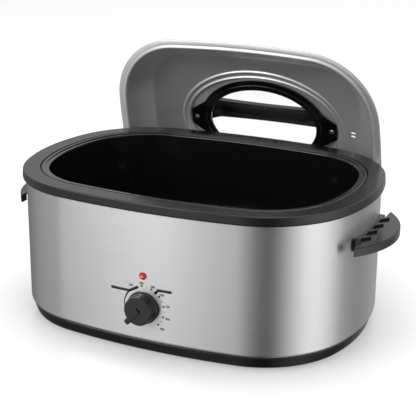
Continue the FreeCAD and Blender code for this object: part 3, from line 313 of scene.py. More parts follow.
def new_piece(name, verts, faces, body, material, place=Matrix()):
    """Smooth mesh piece that rides on a body."""
    mesh = outward_mesh(name, verts, faces)
    mesh.shade_smooth()
    mesh.transform(place)
    mesh.materials.append(material)
    piece = placed(name, mesh)
    weigh_normals(piece)
    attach(piece, body)
    return piece


def weigh_normals(piece):
    """Flat faces stay flat beside their rounded edges."""
    modifier = piece.modifiers.new("flat_faces", "WEIGHTED_NORMAL")
    modifier.keep_sharp = True
    modifier.weight = NORMAL_WEIGHT


def loft(name, rings, body, material, replaced, place, closed=True):
    """Piece whose skin runs from ring to ring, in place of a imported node."""
    verts = [point for ring in rings for point in ring]
    faces = loft_faces(len(rings), len(rings[0]), closed)
    piece = new_piece(name, verts, faces, body, material, place)
    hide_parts(replaced)
    return piece


def swept(name, section, body, material, replaced, closed=True):
    """Section of (inset, height, radius) corners carried round the body's plan."""
    rows = plan_rows(BODY_PLAN)
    rings = [plan_ring(rows, point.x, point.y) for point in rounded(section, closed)]
    place = Matrix.Translation((0, BODY_Y, 0))
    return loft(name, rings, body, material, replaced, place, closed)


def lid_place():
    """Turns the lid from its closed drawing position to its place behind the body."""
    turn = Matrix.Rotation(LID_LEAN - math.pi / 2, 4, "X")
    glass_middle = (GLASS_LOW + GLASS_HIGH) / 2
    away = turn @ Vector((0, 0, GLASS_FLOOR + GLASS_THICKNESS / 2))
    return Matrix.Translation(glass_middle - away) @ turn


def round_edges(piece, width):
    """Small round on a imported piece's sharp edges."""
    weld = piece.modifiers.new("joined", "WELD")
    weld.merge_threshold = WELD_DISTANCE
    edge = piece.modifiers.new("edge_round", "BEVEL")
    edge.width = width
    edge.segments = BEVEL_SEGMENTS
    edge.limit_method = "ANGLE"
    edge.angle_limit = BEVEL_ANGLE
    edge.use_clamp_overlap = True
    weigh_normals(piece)


# ---- Materials

def add(tree, kind, inputs=None, **settings):
    """Adds a node with its settings; an input is a value or an output to link."""
    node = tree.nodes.new(kind)
    for key, value in settings.items():
        setattr(node, key, value)
    for key, value in (inputs or {}).items():
        if isinstance(value, bpy.types.NodeSocket):
            tree.links.new(value, node.inputs[key])
        else:
            node.inputs[key].default_value = value
    return node


def start_material(name, **values):
    """Material with a Principled shader whose plain values are set on its own sockets."""
    material = bpy.data.materials.new(name)
    material.use_nodes = True
    tree = material.node_tree
    shader = tree.nodes["Principled BSDF"]
    for key, value in values.items():
        shader.inputs[key.replace("_", " ")].default_value = value
    return material, tree, shader


def object_point(tree, stretch=(1, 1, 1)):
    """Object coordinates, squeezed along each axis."""
    place = add(tree, "ShaderNodeTexCoord").outputs["Object"]
    return add(tree, "ShaderNodeMapping", {"Vector": place, "Scale": stretch}).outputs["Vector"]


def grain(tree, size, stretch=(1, 1, 1), detail=3.0, roughness=0.55):
    """Noise whose bumps are about as wide as a size in metres."""
    noise = add(tree, "ShaderNodeTexNoise", {"Vector": object_point(tree, stretch), "Scale": 1 / size,
                                             "Detail": detail, "Roughness": roughness})
    return noise.outputs["Fac"]


def vary(tree, pattern, low, high, span=NOISE_SPAN):
    """Number or colour that follows a pattern: a number over a span of it, a colour from 0 to 1."""
    if isinstance(low, float):
        return add(tree, "ShaderNodeMapRange", {"Value": pattern, "From Min": span[0], "From Max": span[1],
                                                "To Min": low, "To Max": high}).outputs["Result"]
    return add(tree, "ShaderNodeMix", {"Factor": pattern, "A": (*low, 1), "B": (*high, 1)},
               data_type="RGBA").outputs["Result"]


def shades(colour, *amounts):
    """Darker and lighter versions of a colour."""
    return [[channel * amount for channel in colour] for amount in amounts]


def surface(tree, shader, pattern, tones, roughness, depth=0.0, strength=0.6, tones_by=None):
    """Two tones, a range or source of roughness, and a relief in metres, all led by a pattern."""
    colour = vary(tree, pattern if tones_by is None else tones_by, *tones)
    tree.links.new(colour, shader.inputs["Base Color"])
    if not isinstance(roughness, bpy.types.NodeSocket):
        roughness = vary(tree, pattern, *roughness)
    tree.links.new(roughness, shader.inputs["Roughness"])
    if depth:
        relief = add(tree, "ShaderNodeBump", {"Height": pattern, "Distance": depth, "Strength": strength})
        tree.links.new(relief.outputs["Normal"], shader.inputs["Normal"])


def brushed_stainless(colours):
    """Stainless sheet brushed along its length: reflections stay crisp sideways and smear up and down."""
    material, tree, shader = start_material("brushed_stainless_steel", Metallic=1.0, Anisotropic=0.9,
                                            Anisotropic_Rotation=0.25)
    # Brush lines coarser than the real 0.2 mm, so that they show.
    spacing, length = 0.9 * MM, 75 * MM
    lines = grain(tree, spacing, (spacing / length, spacing / length, 1.0), detail=4.0, roughness=0.7)
    broad = grain(tree, 60 * MM, (1, 1, 0.4), detail=1.0)
    rough = add(tree, "ShaderNodeMath", {0: vary(tree, lines, 0.27, 0.31),
                                         1: vary(tree, broad, -0.015, 0.015)}, operation="ADD")
    surface(tree, shader, lines, shades(colours.steel, 0.97, 1.02), rough.outputs[0], depth=0.002 * MM,
            strength=0.3, tones_by=vary(tree, lines, 0.0, 1.0))
    return material


def moulded_black(colours):
    """Polypropylene from a fine-etched mould: dark satin with a soft, slightly grainy sheen."""
    material, tree, shader = start_material("moulded_black_pp", IOR=1.49)
    broad = vary(tree, grain(tree, 35 * MM), 0.0, 1.0)
    surface(tree, shader, grain(tree, 0.5 * MM, detail=2.0), shades(colours.plastic, 0.9, 1.1),
            roughness=(0.19, 0.25), depth=0.02 * MM, strength=0.5, tones_by=broad)
    return material


def polished_black(colours):
    """Black plastic from a polished mould, with clear reflections that waver a little; its colour is darker
    than the rim's, partly its own deep black and partly painted shade for the shadow under the handle and
    the dark pan it mirrors.
    """
    material, tree, shader = start_material("polished_black_abs", IOR=1.5)
    # Base colour at half to seven tenths of the rim plastic's: partly deeper black, partly painted shade.
    surface(tree, shader, grain(tree, 9 * MM), shades(colours.plastic, 0.5, 0.7), roughness=(0.10, 0.16),
            depth=0.02 * MM, strength=0.2)
    return material


def knob_phenolic(colours):
    """Moulded phenolic of the knob: nearly black, with much the same soft sheen as the rim."""
    material, tree, shader = start_material("moulded_phenolic_knob", IOR=1.5)
    surface(tree, shader, grain(tree, 0.4 * MM, detail=2.0), shades(colours.knob, 0.9, 1.12),
            roughness=(0.20, 0.27), depth=0.01 * MM, strength=0.3)
    return material


def lid_paint(colours):
    """Silver-grey stoving paint sprayed on the drawn lid: metal flakes under a satin skin."""
    material, tree, shader = start_material("sprayed_silver_grey_paint", Metallic=0.7, IOR=1.5)
    flake = grain(tree, 0.7 * MM, detail=2.0)
    clouds = add(tree, "ShaderNodeMath", {0: vary(tree, flake, -0.25, 0.25), 1: grain(tree, 50 * MM)},
                 operation="ADD")
    surface(tree, shader, flake, shades(colours.lid, 0.92, 1.08), roughness=(0.29, 0.35),
            depth=0.01 * MM, strength=0.4, tones_by=clouds.outputs[0])
    return material


def black_enamel(colours):
    """Porcelain enamel fired on steel: deep glassy black with a few paler specks."""
    material, tree, shader = start_material("fired_black_enamel", IOR=1.52, Coat_Weight=0.1,
                                            Coat_Roughness=0.04)
    specks = add(tree, "ShaderNodeTexVoronoi", {"Vector": object_point(tree), "Scale": 1 / (4 * MM)})
    dot = vary(tree, specks.outputs["Distance"], 1.0, 0.0, span=(0.07, 0.11))
    surface(tree, shader, grain(tree, 12 * MM), (colours.enamel, hex_colour("#272728")),
            roughness=(0.06, 0.12), depth=0.03 * MM, strength=0.3, tones_by=dot)
    return material


def galvanised_sheet(_colours):
    """Hot-dip galvanised sheet: flat zinc crystals of differing grey."""
    material, tree, shader = start_material("galvanised_sheet", Metallic=0.9)
    cells = add(tree, "ShaderNodeTexVoronoi", {"Vector": object_point(tree), "Scale": 1 / (9 * MM)})
    level = add(tree, "ShaderNodeSeparateColor", {"Color": cells.outputs["Color"]}).outputs[0]
    surface(tree, shader, level, (hex_colour("#85898b"), hex_colour("#a6a9aa")),
            vary(tree, level, 0.34, 0.5, span=(0, 1)))
    return material


def red_lens(colours):
    """Red polycarbonate whose middle is painted glowing: emission and a lighter base colour stand in for
    the small lamp behind it.
    """
    material, tree, shader = start_material("lit_red_polycarbonate", IOR=1.58, Roughness=0.12,
                                            Emission_Strength=1.0)
    place = add(tree, "ShaderNodeTexCoord").outputs["Object"]
    beside = add(tree, "ShaderNodeVectorMath", {0: place, 1: (LENS_LOW + LENS_HIGH) / 2},
                 operation="SUBTRACT").outputs["Vector"]
    squeezed = add(tree, "ShaderNodeVectorMath", {0: beside, 1: GLOW_SQUEEZE},
                   operation="MULTIPLY").outputs["Vector"]
    away = add(tree, "ShaderNodeVectorMath", {0: squeezed}, operation="LENGTH").outputs["Value"]
    painted_glow_share = vary(tree, away, 1.0, 0.0, span=GLOW_REACH)
    # Painted glow: the base colour runs from a dark edge to full red in the middle, and the emission
    # brightens there, because the lamp behind gives no light.
    edge, dim_glow = shades(colours.lens, 0.3, 0.22)
    tree.links.new(vary(tree, painted_glow_share, edge, colours.lens), shader.inputs["Base Color"])
    tree.links.new(vary(tree, painted_glow_share, dim_glow, hex_colour("#ffb04a")), shader.inputs["Emission Color"])
    return material


def grained(name, tones, roughness, size, depth=0.0, stretch=(1, 1, 1), **values):
    """Even material with one fine grain: two close tones, a spread of roughness, perhaps a relief."""
    material, tree, shader = start_material(name, **values)
    surface(tree, shader, grain(tree, size, stretch), [hex_colour(text) for text in tones], roughness,
            depth)
    return material


def chrome_wire(_colours):
    """Bright chrome plating on drawn wire: a clear mirror, slightly clouded."""
    return grained("chrome_plated_wire", ("#c4c5c6", "#dedfe0"), (0.12, 0.2), 1.5 * MM, Metallic=1.0)


def zinc_steel(_colours):
    """Zinc-plated screw steel, pale with a faint mottling."""
    return grained("zinc_plated_steel", ("#a9abad", "#cfd0d0"), (0.26, 0.38), 1 * MM, Metallic=1.0)


def aluminised_sheet(_colours):
    """Aluminised steel as rolled: matt pale grey with a faint direction."""
    return grained("aluminised_steel_sheet", ("#8f9192", "#a9abab"), (0.42, 0.55), 1.2 * MM,
                   stretch=(0.05, 0.05, 1.0), Metallic=0.95)


def clear_glass(_colours):
    """Tempered clear glass, with the faint green of its iron."""
    return grained("tempered_clear_glass", ("#f4f8f6", "#fbfdfc"), (0.0, 0.015), 30 * MM, IOR=1.5,
                   Transmission_Weight=1.0)


def silicone_rubber(_colours):
    """Moulded silicone: soft black with almost no shine."""
    return grained("moulded_silicone", ("#1b1b1c", "#242425"), (0.5, 0.6), 0.6 * MM, 0.02 * MM, IOR=1.43)


def foot_rubber(_colours):
    """Moulded rubber of the feet, dusty black."""
    return grained("moulded_rubber", ("#1c1c1d", "#2a2a2a"), (0.7, 0.8), 0.8 * MM, 0.05 * MM, IOR=1.52)


def mica_band(_colours):
    """Mica board that carries the heating ribbon: pale brown flakes."""
    return grained("pressed_mica_board", ("#8d7c62", "#b19e80"), (0.45, 0.55), 3 * MM, 0.05 * MM, IOR=1.58)


def glass_fibre(_colours):
    """Needled glass-fibre mat, off-white and fluffy."""
    return grained("needled_glass_fibre", ("#cfc7ae", "#e6dfca"), (0.9, 1.0), 1.2 * MM, 0.5 * MM, IOR=1.5)


def brown_phenolic(_colours):
    """Moulded phenolic body of the thermostat, red-brown."""
    return grained("moulded_brown_phenolic", ("#3d241a", "#4d2f22"), (0.37, 0.47), 1 * MM, 0.02 * MM,
                   IOR=1.6)


def white_steatite(_colours):
    """Pressed steatite ceramic of terminals, chalky white."""
    return grained("pressed_steatite", ("#d9d3c7", "#ebe6db"), (0.6, 0.7), 0.8 * MM, 0.03 * MM, IOR=1.6)


def braided_sleeve(_colours):
    """Braided glass sleeve over the leads: 0.8 mm strands."""
    return grained("braided_glass_sleeve", ("#c9c2ab", "#e0dac6"), (0.8, 0.9), 0.8 * MM, 0.2 * MM, IOR=1.5)


def printing_ink(_colours):
    """Screen-printed black ink, slightly uneven and matt."""
    return grained("screen_printed_ink", ("#08080a", "#101011"), (0.45, 0.55), 0.4 * MM, 0.005 * MM,
                   IOR=1.5)


# ---- Sizes and colours that a user would change

def colour_property(name, text, description):
    """Colour that a user may change, from its hex value."""
    return bpy.props.FloatVectorProperty(name=name, description=description, subtype="COLOR", size=3,
                                         min=0.0, max=1.0, default=hex_colour(text))


def length_property(name, value, description):
    """Length that a user may change, in metres."""
    return bpy.props.FloatProperty(name=name, description=description, subtype="DISTANCE", unit="LENGTH",
                                   min=0.0, default=value)


class RoasterColours(bpy.types.PropertyGroup):
    steel: colour_property("Steel", "#cdcdce", "Brushed stainless of the body")
    plastic: colour_property("Plastic", "#0b0b0c", "Moulded rim, base and handles")
    knob: colour_property("Knob", "#0b0b0c", "Control knob")
    lid: colour_property("Lid", "#cdcecf", "Satin paint of the lid")
    enamel: colour_property("Enamel", "#0d0d0f", "Roasting pan")
    lens: colour_property("Lens", "#d8140c", "Indicator lens")
    floor: colour_property("Floor", "#fbfbfb", "Studio floor")


class RoasterSizes(bpy.types.PropertyGroup):
    rim_round: length_property("Rim Edge", 1.6 * MM, "Round of the rim's top edges")
    skirt_round: length_property("Skirt Edge", 1.2 * MM, "Round of the base skirt's edges")
    small_round: length_property("Small Edges", 0.5 * MM, "Round of small mouldings' edges")
    number_height: length_property("Number Height", 4.5 * MM, "Height of the dial's numbers")
    dot_radius: length_property("Dot Radius", 1.5 * MM, "Radius of the dial's large dots")


class RoasterStep:
    """What the build steps share"""
    bl_options = {"REGISTER", "UNDO"}

    @property
    def sizes(self):
        return bpy.context.scene.roaster_sizes

    @property
    def colours(self):
        return bpy.context.scene.roaster_colours

    def material(self, maker):
        """The one material of a maker, made at its first use."""
        made = dict(bpy.context.scene.get("roaster_materials", {}))
        if maker.__name__ not in made:
            made[maker.__name__] = maker(self.colours).name
            bpy.context.scene["roaster_materials"] = made
        return bpy.data.materials[made[maker.__name__]]

    def dress(self, maker, edge_round, *nodes):
        """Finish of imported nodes: their material, and a small round on their sharp edges."""
        for node in nodes:
            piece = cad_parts[node]
            piece.data.materials.clear()
            piece.data.materials.append(self.material(maker))
            if edge_round:
                round_edges(piece, edge_round)


# ---- Body

class ROASTER_OT_body(RoasterStep, bpy.types.Operator):
    """Brushed shell, moulded rim and base skirt"""
    bl_idname = "roaster.body"
    bl_label = "Body"

    def execute(self, _context):
        self.shell()
        self.rim()
        self.skirt()
        return {"FINISHED"}

    def shell(self):
        top, low = SHELL_HIGH.z, SHELL_LOW.z
        outer, inner, flange = SHELL_INSET, SHELL_INSET + SHELL_SHEET, SHELL_INSET + SHELL_FLANGE
        sheet = low + SHELL_SHEET
        section = [(outer, top, SHELL_EDGE), (outer, low, SHELL_TURN), (flange, low, SHELL_EDGE),
                   (flange, sheet, SHELL_EDGE), (inner, sheet, SHELL_TURN - SHELL_SHEET),
                   (inner, top, SHELL_EDGE)]
        swept("shell_wrap", section, "base", self.material(brushed_stainless), "outer_shell")

    def rim(self):
        top, low = RIM_HIGH.z, RIM_LOW.z
        seat, hollow = top - RIM_STEP, top - RIM_SKIN
        inner, back = RIM_FLAT + RIM_SEAT, RIM_FLAT - RIM_SKIN
        lip = SHELL_INSET - RIM_LAP
        edge, small = self.sizes.rim_round, self.sizes.small_round
        section = [(RIM_HEM_INSET, low, small), (0, low + RIM_HEM_HEIGHT, small), (RIM_DRAFT, top, edge),
                   (RIM_FLAT, top, small * SEAT_ROUND_SHARE), (RIM_FLAT, seat, small), (inner, seat, small),
                   (inner, low, small), (back, low, small), (back, hollow, small),
                   (lip + RIM_LIP_WIDTH, hollow, small), (lip, low + RIM_LIP_HEIGHT, small),
                   (lip, low, small)]
        swept("rim_moulding", section, "base", self.material(moulded_black), "top_rim")

    def skirt(self):
        top, low = SKIRT_HIGH.z, SKIRT_LOW.z
        edge = self.sizes.skirt_round
        foot, ledge = SKIRT_INSET + SKIRT_TAPER, SKIRT_INSET + SKIRT_LEDGE
        plate = top - SKIRT_WALL
        section = [(foot, low, edge), (SKIRT_INSET, top, edge), (ledge, top, LEDGE_EDGE),
                   (ledge, plate, LEDGE_EDGE), (foot + SKIRT_WALL, plate, LEDGE_CORNER),
                   (foot + SKIRT_WALL, low, edge)]
        swept("skirt_moulding", section, "base", self.material(moulded_black),
              "base_skirt")


class ROASTER_OT_fittings(RoasterStep, bpy.types.Operator):
    """Feet, bottom cover, lid rests, mains bush and the screws"""
    bl_idname = "roaster.fittings"
    bl_label = "Fittings"

    def execute(self, _context):
        small = self.sizes.small_round
        self.dress(moulded_black, small, "lid_rest_right", "lid_rest_left", "power_gland")
        self.dress(foot_rubber, small, "feet")
        self.dress(galvanised_sheet, SHARP, "bottom_cover")
        self.dress(zinc_steel, SCREW_ROUND, "foot_screws", "handle_screws", "lid_rest_screws",
                   "lid_handle_screws", "knob_shaft")
        return {"FINISHED"}


class ROASTER_OT_inside(RoasterStep, bpy.types.Operator):
    """Liner, heating band, insulation, thermostat, terminals and leads"""
    bl_idname = "roaster.inside"
    bl_label = "Inside"

    def execute(self, _context):
        self.dress(aluminised_sheet, SHARP, "liner", "element_clips")
        self.dress(mica_band, SHARP, "heating_band")
        self.dress(glass_fibre, SHARP, "insulation_blanket")
        self.dress(brown_phenolic, SHARP, "thermostat_body")
        self.dress(galvanised_sheet, SHARP, "thermostat_bracket")
        self.dress(white_steatite, SHARP, "thermal_cutout", "terminal_block")
        self.dress(clear_glass, SHARP, "indicator_lamp")
        self.dress(braided_sleeve, SHARP, "internal_leads")
        return {"FINISHED"}


class ROASTER_OT_handles(RoasterStep, bpy.types.Operator):
    """Side grips and their toothed brackets"""
    bl_idname = "roaster.handles"
    bl_label = "Side Handles"

    def execute(self, _context):
        self.dress(moulded_black, GRIP_ROUND, "handle_right", "handle_left")
        self.dress(polished_black, FRAME_ROUND, "handle_bracket_right", "handle_bracket_left")
        return {"FINISHED"}


# ---- Dial, knob and lamp

def front_depth(x):
    """How far the shell's front lies behind its foremost line, at a place along it."""
    side = BODY_PLAN.side - SHELL_INSET
    return side - math.sqrt(side ** 2 - x ** 2)


def on_front(flat, lift):
    """Bends a flat mesh, drawn in X and Y about the dial's middle, onto the bowed front."""
    for vertex in flat.vertices:
        x, up, out = vertex.co
        vertex.co = Vector((x, SHELL_LOW.y + front_depth(x) - lift - out, DIAL_Z + up))


def bend_print(piece):
    """Gives a flat mark the ink's thickness and bends it onto the front."""
    thick = piece.modifiers.new("ink", "SOLIDIFY")
    thick.thickness = PRINT_LIFT
    thick.offset = 0
    on_front(piece.data, PRINT_LIFT)


def printed(name, verts, faces, material):
    """Flat shape printed on the shell's front."""
    piece = new_piece(name, [Vector((x, y, 0)) for x, y in verts], faces, "base", material)
    bend_print(piece)


def clock_point(angle, radius):
    """Point round the dial's middle, by its angle clockwise from the top."""
    turn = math.radians(angle)
    return Vector((math.sin(turn) * radius, math.cos(turn) * radius))


def arc_points(centre, radius, start, turn, steps):
    """Points on an arc from a start angle through a turn, both in radians."""
    angles = [start + turn * step / steps for step in range(steps + 1)]
    return [(centre.x + radius * math.cos(angle), centre.y + radius * math.sin(angle)) for angle in angles]


def stroke(points, half_widths):
    """Outline of a line of varying width."""
    left, right = [], []
    for index, point in enumerate(points):
        before, after = points[max(index - 1, 0)], points[min(index + 1, len(points) - 1)]
        way = (after - before).normalized()
        side = Vector((-way.y, way.x)) * half_widths[index]
        left.append(point + side)
        right.append(point - side)
    return [tuple(p) for p in left + right[::-1]]


def half_round(end, side, radius):
    """Half circle about a band's end, from its left side round to its right."""
    return arc_points(end, radius, math.atan2(side.y, side.x), -math.pi, HALF_ROUND_STEPS)


def round_band(points, radius):
    """Bent band with round ends and a mitred bend, in strips short enough to follow the bow."""
    ways = [(after - before).normalized() for before, after in zip(points, points[1:])]
    turns = [ways[0]] + [(a + b).normalized() for a, b in zip(ways, ways[1:])] + [ways[-1]]
    sides = [Vector((-turn.y, turn.x)) * (radius / turn.dot(way))
             for turn, way in zip(turns, ways + ways[-1:])]
    left, right = [], []
    for index in range(len(ways)):
        end_line = 1 if index == len(ways) - 1 else 0
        for step in range(STRIP_STEPS + end_line):
            share = step / STRIP_STEPS
            middle = points[index].lerp(points[index + 1], share)
            side = sides[index].lerp(sides[index + 1], share)
            left.append(tuple(middle + side))
            right.append(tuple(middle - side))
    count = len(left)
    faces = [(k, k + 1, count + k + 1, count + k) for k in range(count - 1)]
    verts = left + right
    ends = ((points[-1], sides[-1], count - 1, 2 * count - 1), (points[0], -sides[0], count, 0))
    for end, side, first, last in ends:
        arc = half_round(end, side, radius)[1:-1]
        faces.append((first, *range(len(verts), len(verts) + len(arc)), last))
        verts += arc
    return verts, faces


class ROASTER_OT_dial(RoasterStep, bpy.types.Operator):
    """Printed dial: dots, numbers, the low-heat arc and two plain bars"""
    bl_idname = "roaster.dial"
    bl_label = "Dial Marks"

    def execute(self, _context):
        ink = self.material(printing_ink)
        for print_marks in (self.dots, self.arc, self.bars, self.numbers):
            print_marks(ink)
        return {"FINISHED"}

    def dots(self, ink):
        verts, faces = [], []
        large = [angle for angle, _ in DIAL_MARKS]
        middles = [(a + b) / 2 for a, b in zip(large, large[1:])]
        radius = self.sizes.dot_radius
        sizes = [(a, radius) for a in large] + [(a, radius * SMALL_DOT_SHARE) for a in middles]
        for angle, size in sizes:
            ring = arc_points(clock_point(angle, DIAL_RADIUS), size, 0, 2 * math.pi, DISC_STEPS)[:-1]
            faces.append(tuple(range(len(verts), len(verts) + len(ring))))
            verts.extend(ring)
        printed("dial_dots", verts, faces, ink)

    def arc(self, ink):
        shares = [step / ARC_STEPS for step in range(ARC_STEPS + 1)]
        points = [clock_point(ARC_FIRST + (ARC_LAST - ARC_FIRST) * share, DIAL_RADIUS - ARC_INSET)
                  for share in shares]
        outline = stroke(points, [ARC_THIN + (ARC_THICK - ARC_THIN) * share for share in shares])
        count = len(points)
        faces = [(k, k + 1, 2 * count - 2 - k, 2 * count - 1 - k) for k in range(count - 1)]
        printed("dial_arc", outline, faces, ink)

    def bars(self, ink):
        for name, corners in BARS_MM.items():
            verts, faces = round_band([Vector(corner) * MM for corner in corners], BAR_HALF_WIDTH)
            printed(name, verts, faces, ink)

    def numbers(self, ink):
        for angle, text in (FIRST_NUMBER, *DIAL_MARKS):
            curve = bpy.data.curves.new("number_" + text, "FONT")
            curve.body = text
            curve.size = self.sizes.number_height
            curve.offset = NUMBER_WEIGHT
            curve.align_x = "CENTER"
            curve.align_y = "CENTER"
            drawn = placed("drawn_" + text, curve)
            depsgraph = bpy.context.evaluated_depsgraph_get()
            mesh = bpy.data.meshes.new_from_object(drawn.evaluated_get(depsgraph))
            bpy.data.objects.remove(drawn)
            # The further round from the top, the further out a number stands.
            away = DIAL_RADIUS + NUMBER_GAP + NUMBER_GAP_GROWTH * (1 - math.cos(math.radians(angle)))
            mesh.transform(Matrix.Translation(clock_point(angle, away).to_3d()))
            mesh.materials.clear()
            mesh.materials.append(ink)
            piece = placed("dial_number_" + text, mesh)
            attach(piece, "base")
            bend_print(piece)


class ROASTER_OT_knob(RoasterStep, bpy.types.Operator):
    """Control knob and indicator lens"""
    bl_idname = "roaster.knob"
    bl_label = "Knob and Lamp"

    def execute(self, _context):
        self.dress(knob_phenolic, KNOB_ROUND, "control_knob")
        self.dress(red_lens, LENS_ROUND, "indicator_lens")
        return {"FINISHED"}


# ---- Pan and rack

class ROASTER_OT_pan(RoasterStep, bpy.types.Operator):
    """Enamelled pan with its rolled bead"""
    bl_idname = "roaster.pan"
    bl_label = "Roasting Pan"

    def execute(self, _context):
        floor, bead = PAN_LOW.z, PAN_HIGH.z
        seat, dip = bead - PAN_BEAD_HEIGHT, bead - PAN_BEAD_DROP
        bead_in, wall_top = PAN_INSET + PAN_BEAD, PAN_INSET + PAN_FLANGE
        wall_low = wall_top + PAN_DRAFT
        floor_edge = wall_low + PAN_FLOOR_EDGE
        sheet = PAN_SHEET
        section = [(floor_edge, floor, 0), (wall_low, floor, PAN_CORNER), (wall_top, seat, 2.5 * MM),
                   (PAN_INSET, seat, 0.6 * MM), (PAN_INSET, bead, 2.0 * MM), (bead_in, bead, 2.4 * MM),
                   (bead_in, dip, 0.5 * MM), (wall_top + sheet, dip, 2.2 * MM),
                   (wall_low + sheet, floor + sheet, PAN_CORNER - sheet), (floor_edge, floor + sheet, 0)]
        swept("pan_enamelled", section, "pan", self.material(black_enamel), "roasting_pan",
              closed=False)
        return {"FINISHED"}


class ROASTER_OT_rack(RoasterStep, bpy.types.Operator):
    """Chromed wire rack"""
    bl_idname = "roaster.rack"
    bl_label = "Wire Rack"

    def execute(self, _context):
        self.dress(chrome_wire, SHARP, "roasting_rack", "rack_cross_wires")
        return {"FINISHED"}


# ---- Lid

def step_profile(outline, foot, rise):
    """Half length, half height and level of each line of a pressed step: a low ridge, then the rise."""
    half_length, half_height = outline
    crest = foot - RIDGE_HEIGHT
    points = []
    for step in range(RIDGE_STEPS):
        share = step / RIDGE_STEPS
        level = foot - RIDGE_HEIGHT * math.sin(share * math.pi / 2) ** 2
        points.append((2 * RIDGE_HALF_WIDTH * (1 - share), level))
    for step in range(RIDGE_STEPS + 1):
        share = step / RIDGE_STEPS
        smooth = share * share * (3 - 2 * share)
        points.append((-STEP_RUN * share, crest + (rise + RIDGE_HEIGHT) * smooth))
    return [(half_length + out, half_height + out, level) for out, level in points]


def window_rings(rows, lift):
    """Rings of the window's two steps, from the outer one's foot to the opening."""
    panel = LID_PANEL + lift
    inner_foot = panel - INNER_RISE
    lines = step_profile(OUTER_STEP, inner_foot - OUTER_RISE, OUTER_RISE)
    lines += step_profile(INNER_STEP, inner_foot, INNER_RISE)
    out = STEP_SPREAD * lift
    rings = [ellipse_ring(rows, x + out, y + out, z) for x, y, z in lines]
    rings.append(ellipse_ring(rows, WINDOW_LENGTH + OPENING_MARGIN, WINDOW_HEIGHT + OPENING_MARGIN, panel))
    return rings


def cut_slot(dome, middle):
    """Cuts a round-ended steam slot through the lid's panel."""
    reach = Vector((SLOT_LENGTH / 2 - SLOT_WIDTH / 2, 0))
    outline = []
    for end, side in ((middle + reach, Vector((0, 1))), (middle - reach, Vector((0, -1)))):
        outline += half_round(end, side, SLOT_WIDTH / 2)
    verts = [Vector((x, y, z)) for z in (LID_PANEL - SLOT_CUT, LID_PANEL) for x, y in outline]
    cutter = placed("slot_cutter", outward_mesh("slot_cutter", verts, loft_faces(2, len(outline), False)))
    cutter.data.transform(lid_place())
    dome.modifiers.clear()
    modifier = dome.modifiers.new("steam_slot", "BOOLEAN")
    modifier.operation = "DIFFERENCE"
    modifier.solver = "EXACT"
    modifier.object = cutter
    bpy.context.view_layer.update()
    depsgraph = bpy.context.evaluated_depsgraph_get()
    cut = bpy.data.meshes.new_from_object(dome.evaluated_get(depsgraph), preserve_all_data_layers=True,
                                          depsgraph=depsgraph)
    dome.modifiers.clear()
    dome.data = cut
    bpy.data.objects.remove(cutter)


class ROASTER_OT_lid(RoasterStep, bpy.types.Operator):
    """Painted lid: hem, flange, bead, wall, shoulder and stepped panel"""
    bl_idname = "roaster.lid"
    bl_label = "Lid"

    def execute(self, _context):
        rows = plan_rows(LID_PLAN)
        sheet = LID_SHEET
        corner, corner_height = SHOULDER_INSET - SHOULDER_TURN, SHOULDER_HEIGHT - SHOULDER_TURN
        outside = [(0, HEM_HEIGHT, 0.9 * MM), (HEM_WIDTH, HEM_HEIGHT, 0.6 * MM),
                   (HEM_WIDTH, sheet, 0.4 * MM), (FLANGE_WIDTH, sheet, 2.4 * MM),
                   (BEAD_INSET - sheet / 2, sheet - BEAD_DIP, 2.0 * MM), (WALL_FOOT, 0, 1.2 * MM),
                   (corner, corner_height + sheet, 10 * MM), (SHOULDER_INSET, SHOULDER_HEIGHT + sheet, 0)]
        inside = [(0, 0, 1.0 * MM), (FLANGE_WIDTH - sheet, 0, 2.6 * MM),
                  (BEAD_INSET - sheet / 4, -BEAD_DIP, 2.2 * MM), (WALL_FOOT + sheet, 0, 1.6 * MM),
                  (corner + SLOPE_SHARE * sheet, corner_height, 9 * MM),
                  (SHOULDER_INSET + END_SHARE * sheet, SHOULDER_HEIGHT, 0)]
        skins = []
        for section, lift in ((outside, sheet), (inside, 0)):
            rings = [plan_ring(rows, point.x, point.y) for point in rounded(section, closed=False)]
            skins.append(rings + window_rings(rows, lift))
        outer, inner = skins
        dome = loft("lid_dome", outer + inner[::-1], "lid", self.material(lid_paint),
                    "lid_shell", lid_place())
        for row in (-1, 1):
            cut_slot(dome, Vector((LID_PLAN.half_length - SLOT_INSET, SLOT_Y + row * SLOT_PITCH / 2)))
        weigh_normals(dome)
        return {"FINISHED"}


class ROASTER_OT_window(RoasterStep, bpy.types.Operator):
    """Glass, its seal, the inner frame and the bridge handle"""
    bl_idname = "roaster.window"
    bl_label = "Lid Window and Handle"

    def execute(self, _context):
        self.dress(clear_glass, SHARP, "lid_glass")
        self.dress(silicone_rubber, SHARP, "glass_seal")
        self.dress(polished_black, FRAME_ROUND, "window_bezel")
        self.dress(moulded_black, GRIP_ROUND, "lid_handle")
        return {"FINISHED"}


# ---- Stage

def area_lamp(name, place, target, size, power):
    """Rectangular soft box that points at a target."""
    lamp = bpy.data.lights.new(name, "AREA")
    lamp.shape = "RECTANGLE"
    lamp.size, lamp.size_y = size
    lamp.energy = power
    holder = placed(name, lamp)
    holder.location = place
    holder.rotation_euler = (Vector(target) - Vector(place)).to_track_quat("-Z", "Y").to_euler()


def ray_share(tree, first, *others):
    """One for rays of the given kinds, and zero for all others."""
    path = add(tree, "ShaderNodeLightPath").outputs
    share = path[first]
    for kind in others:
        share = add(tree, "ShaderNodeMath", {0: share, 1: path[kind]}, operation="MAXIMUM").outputs[0]
    return share


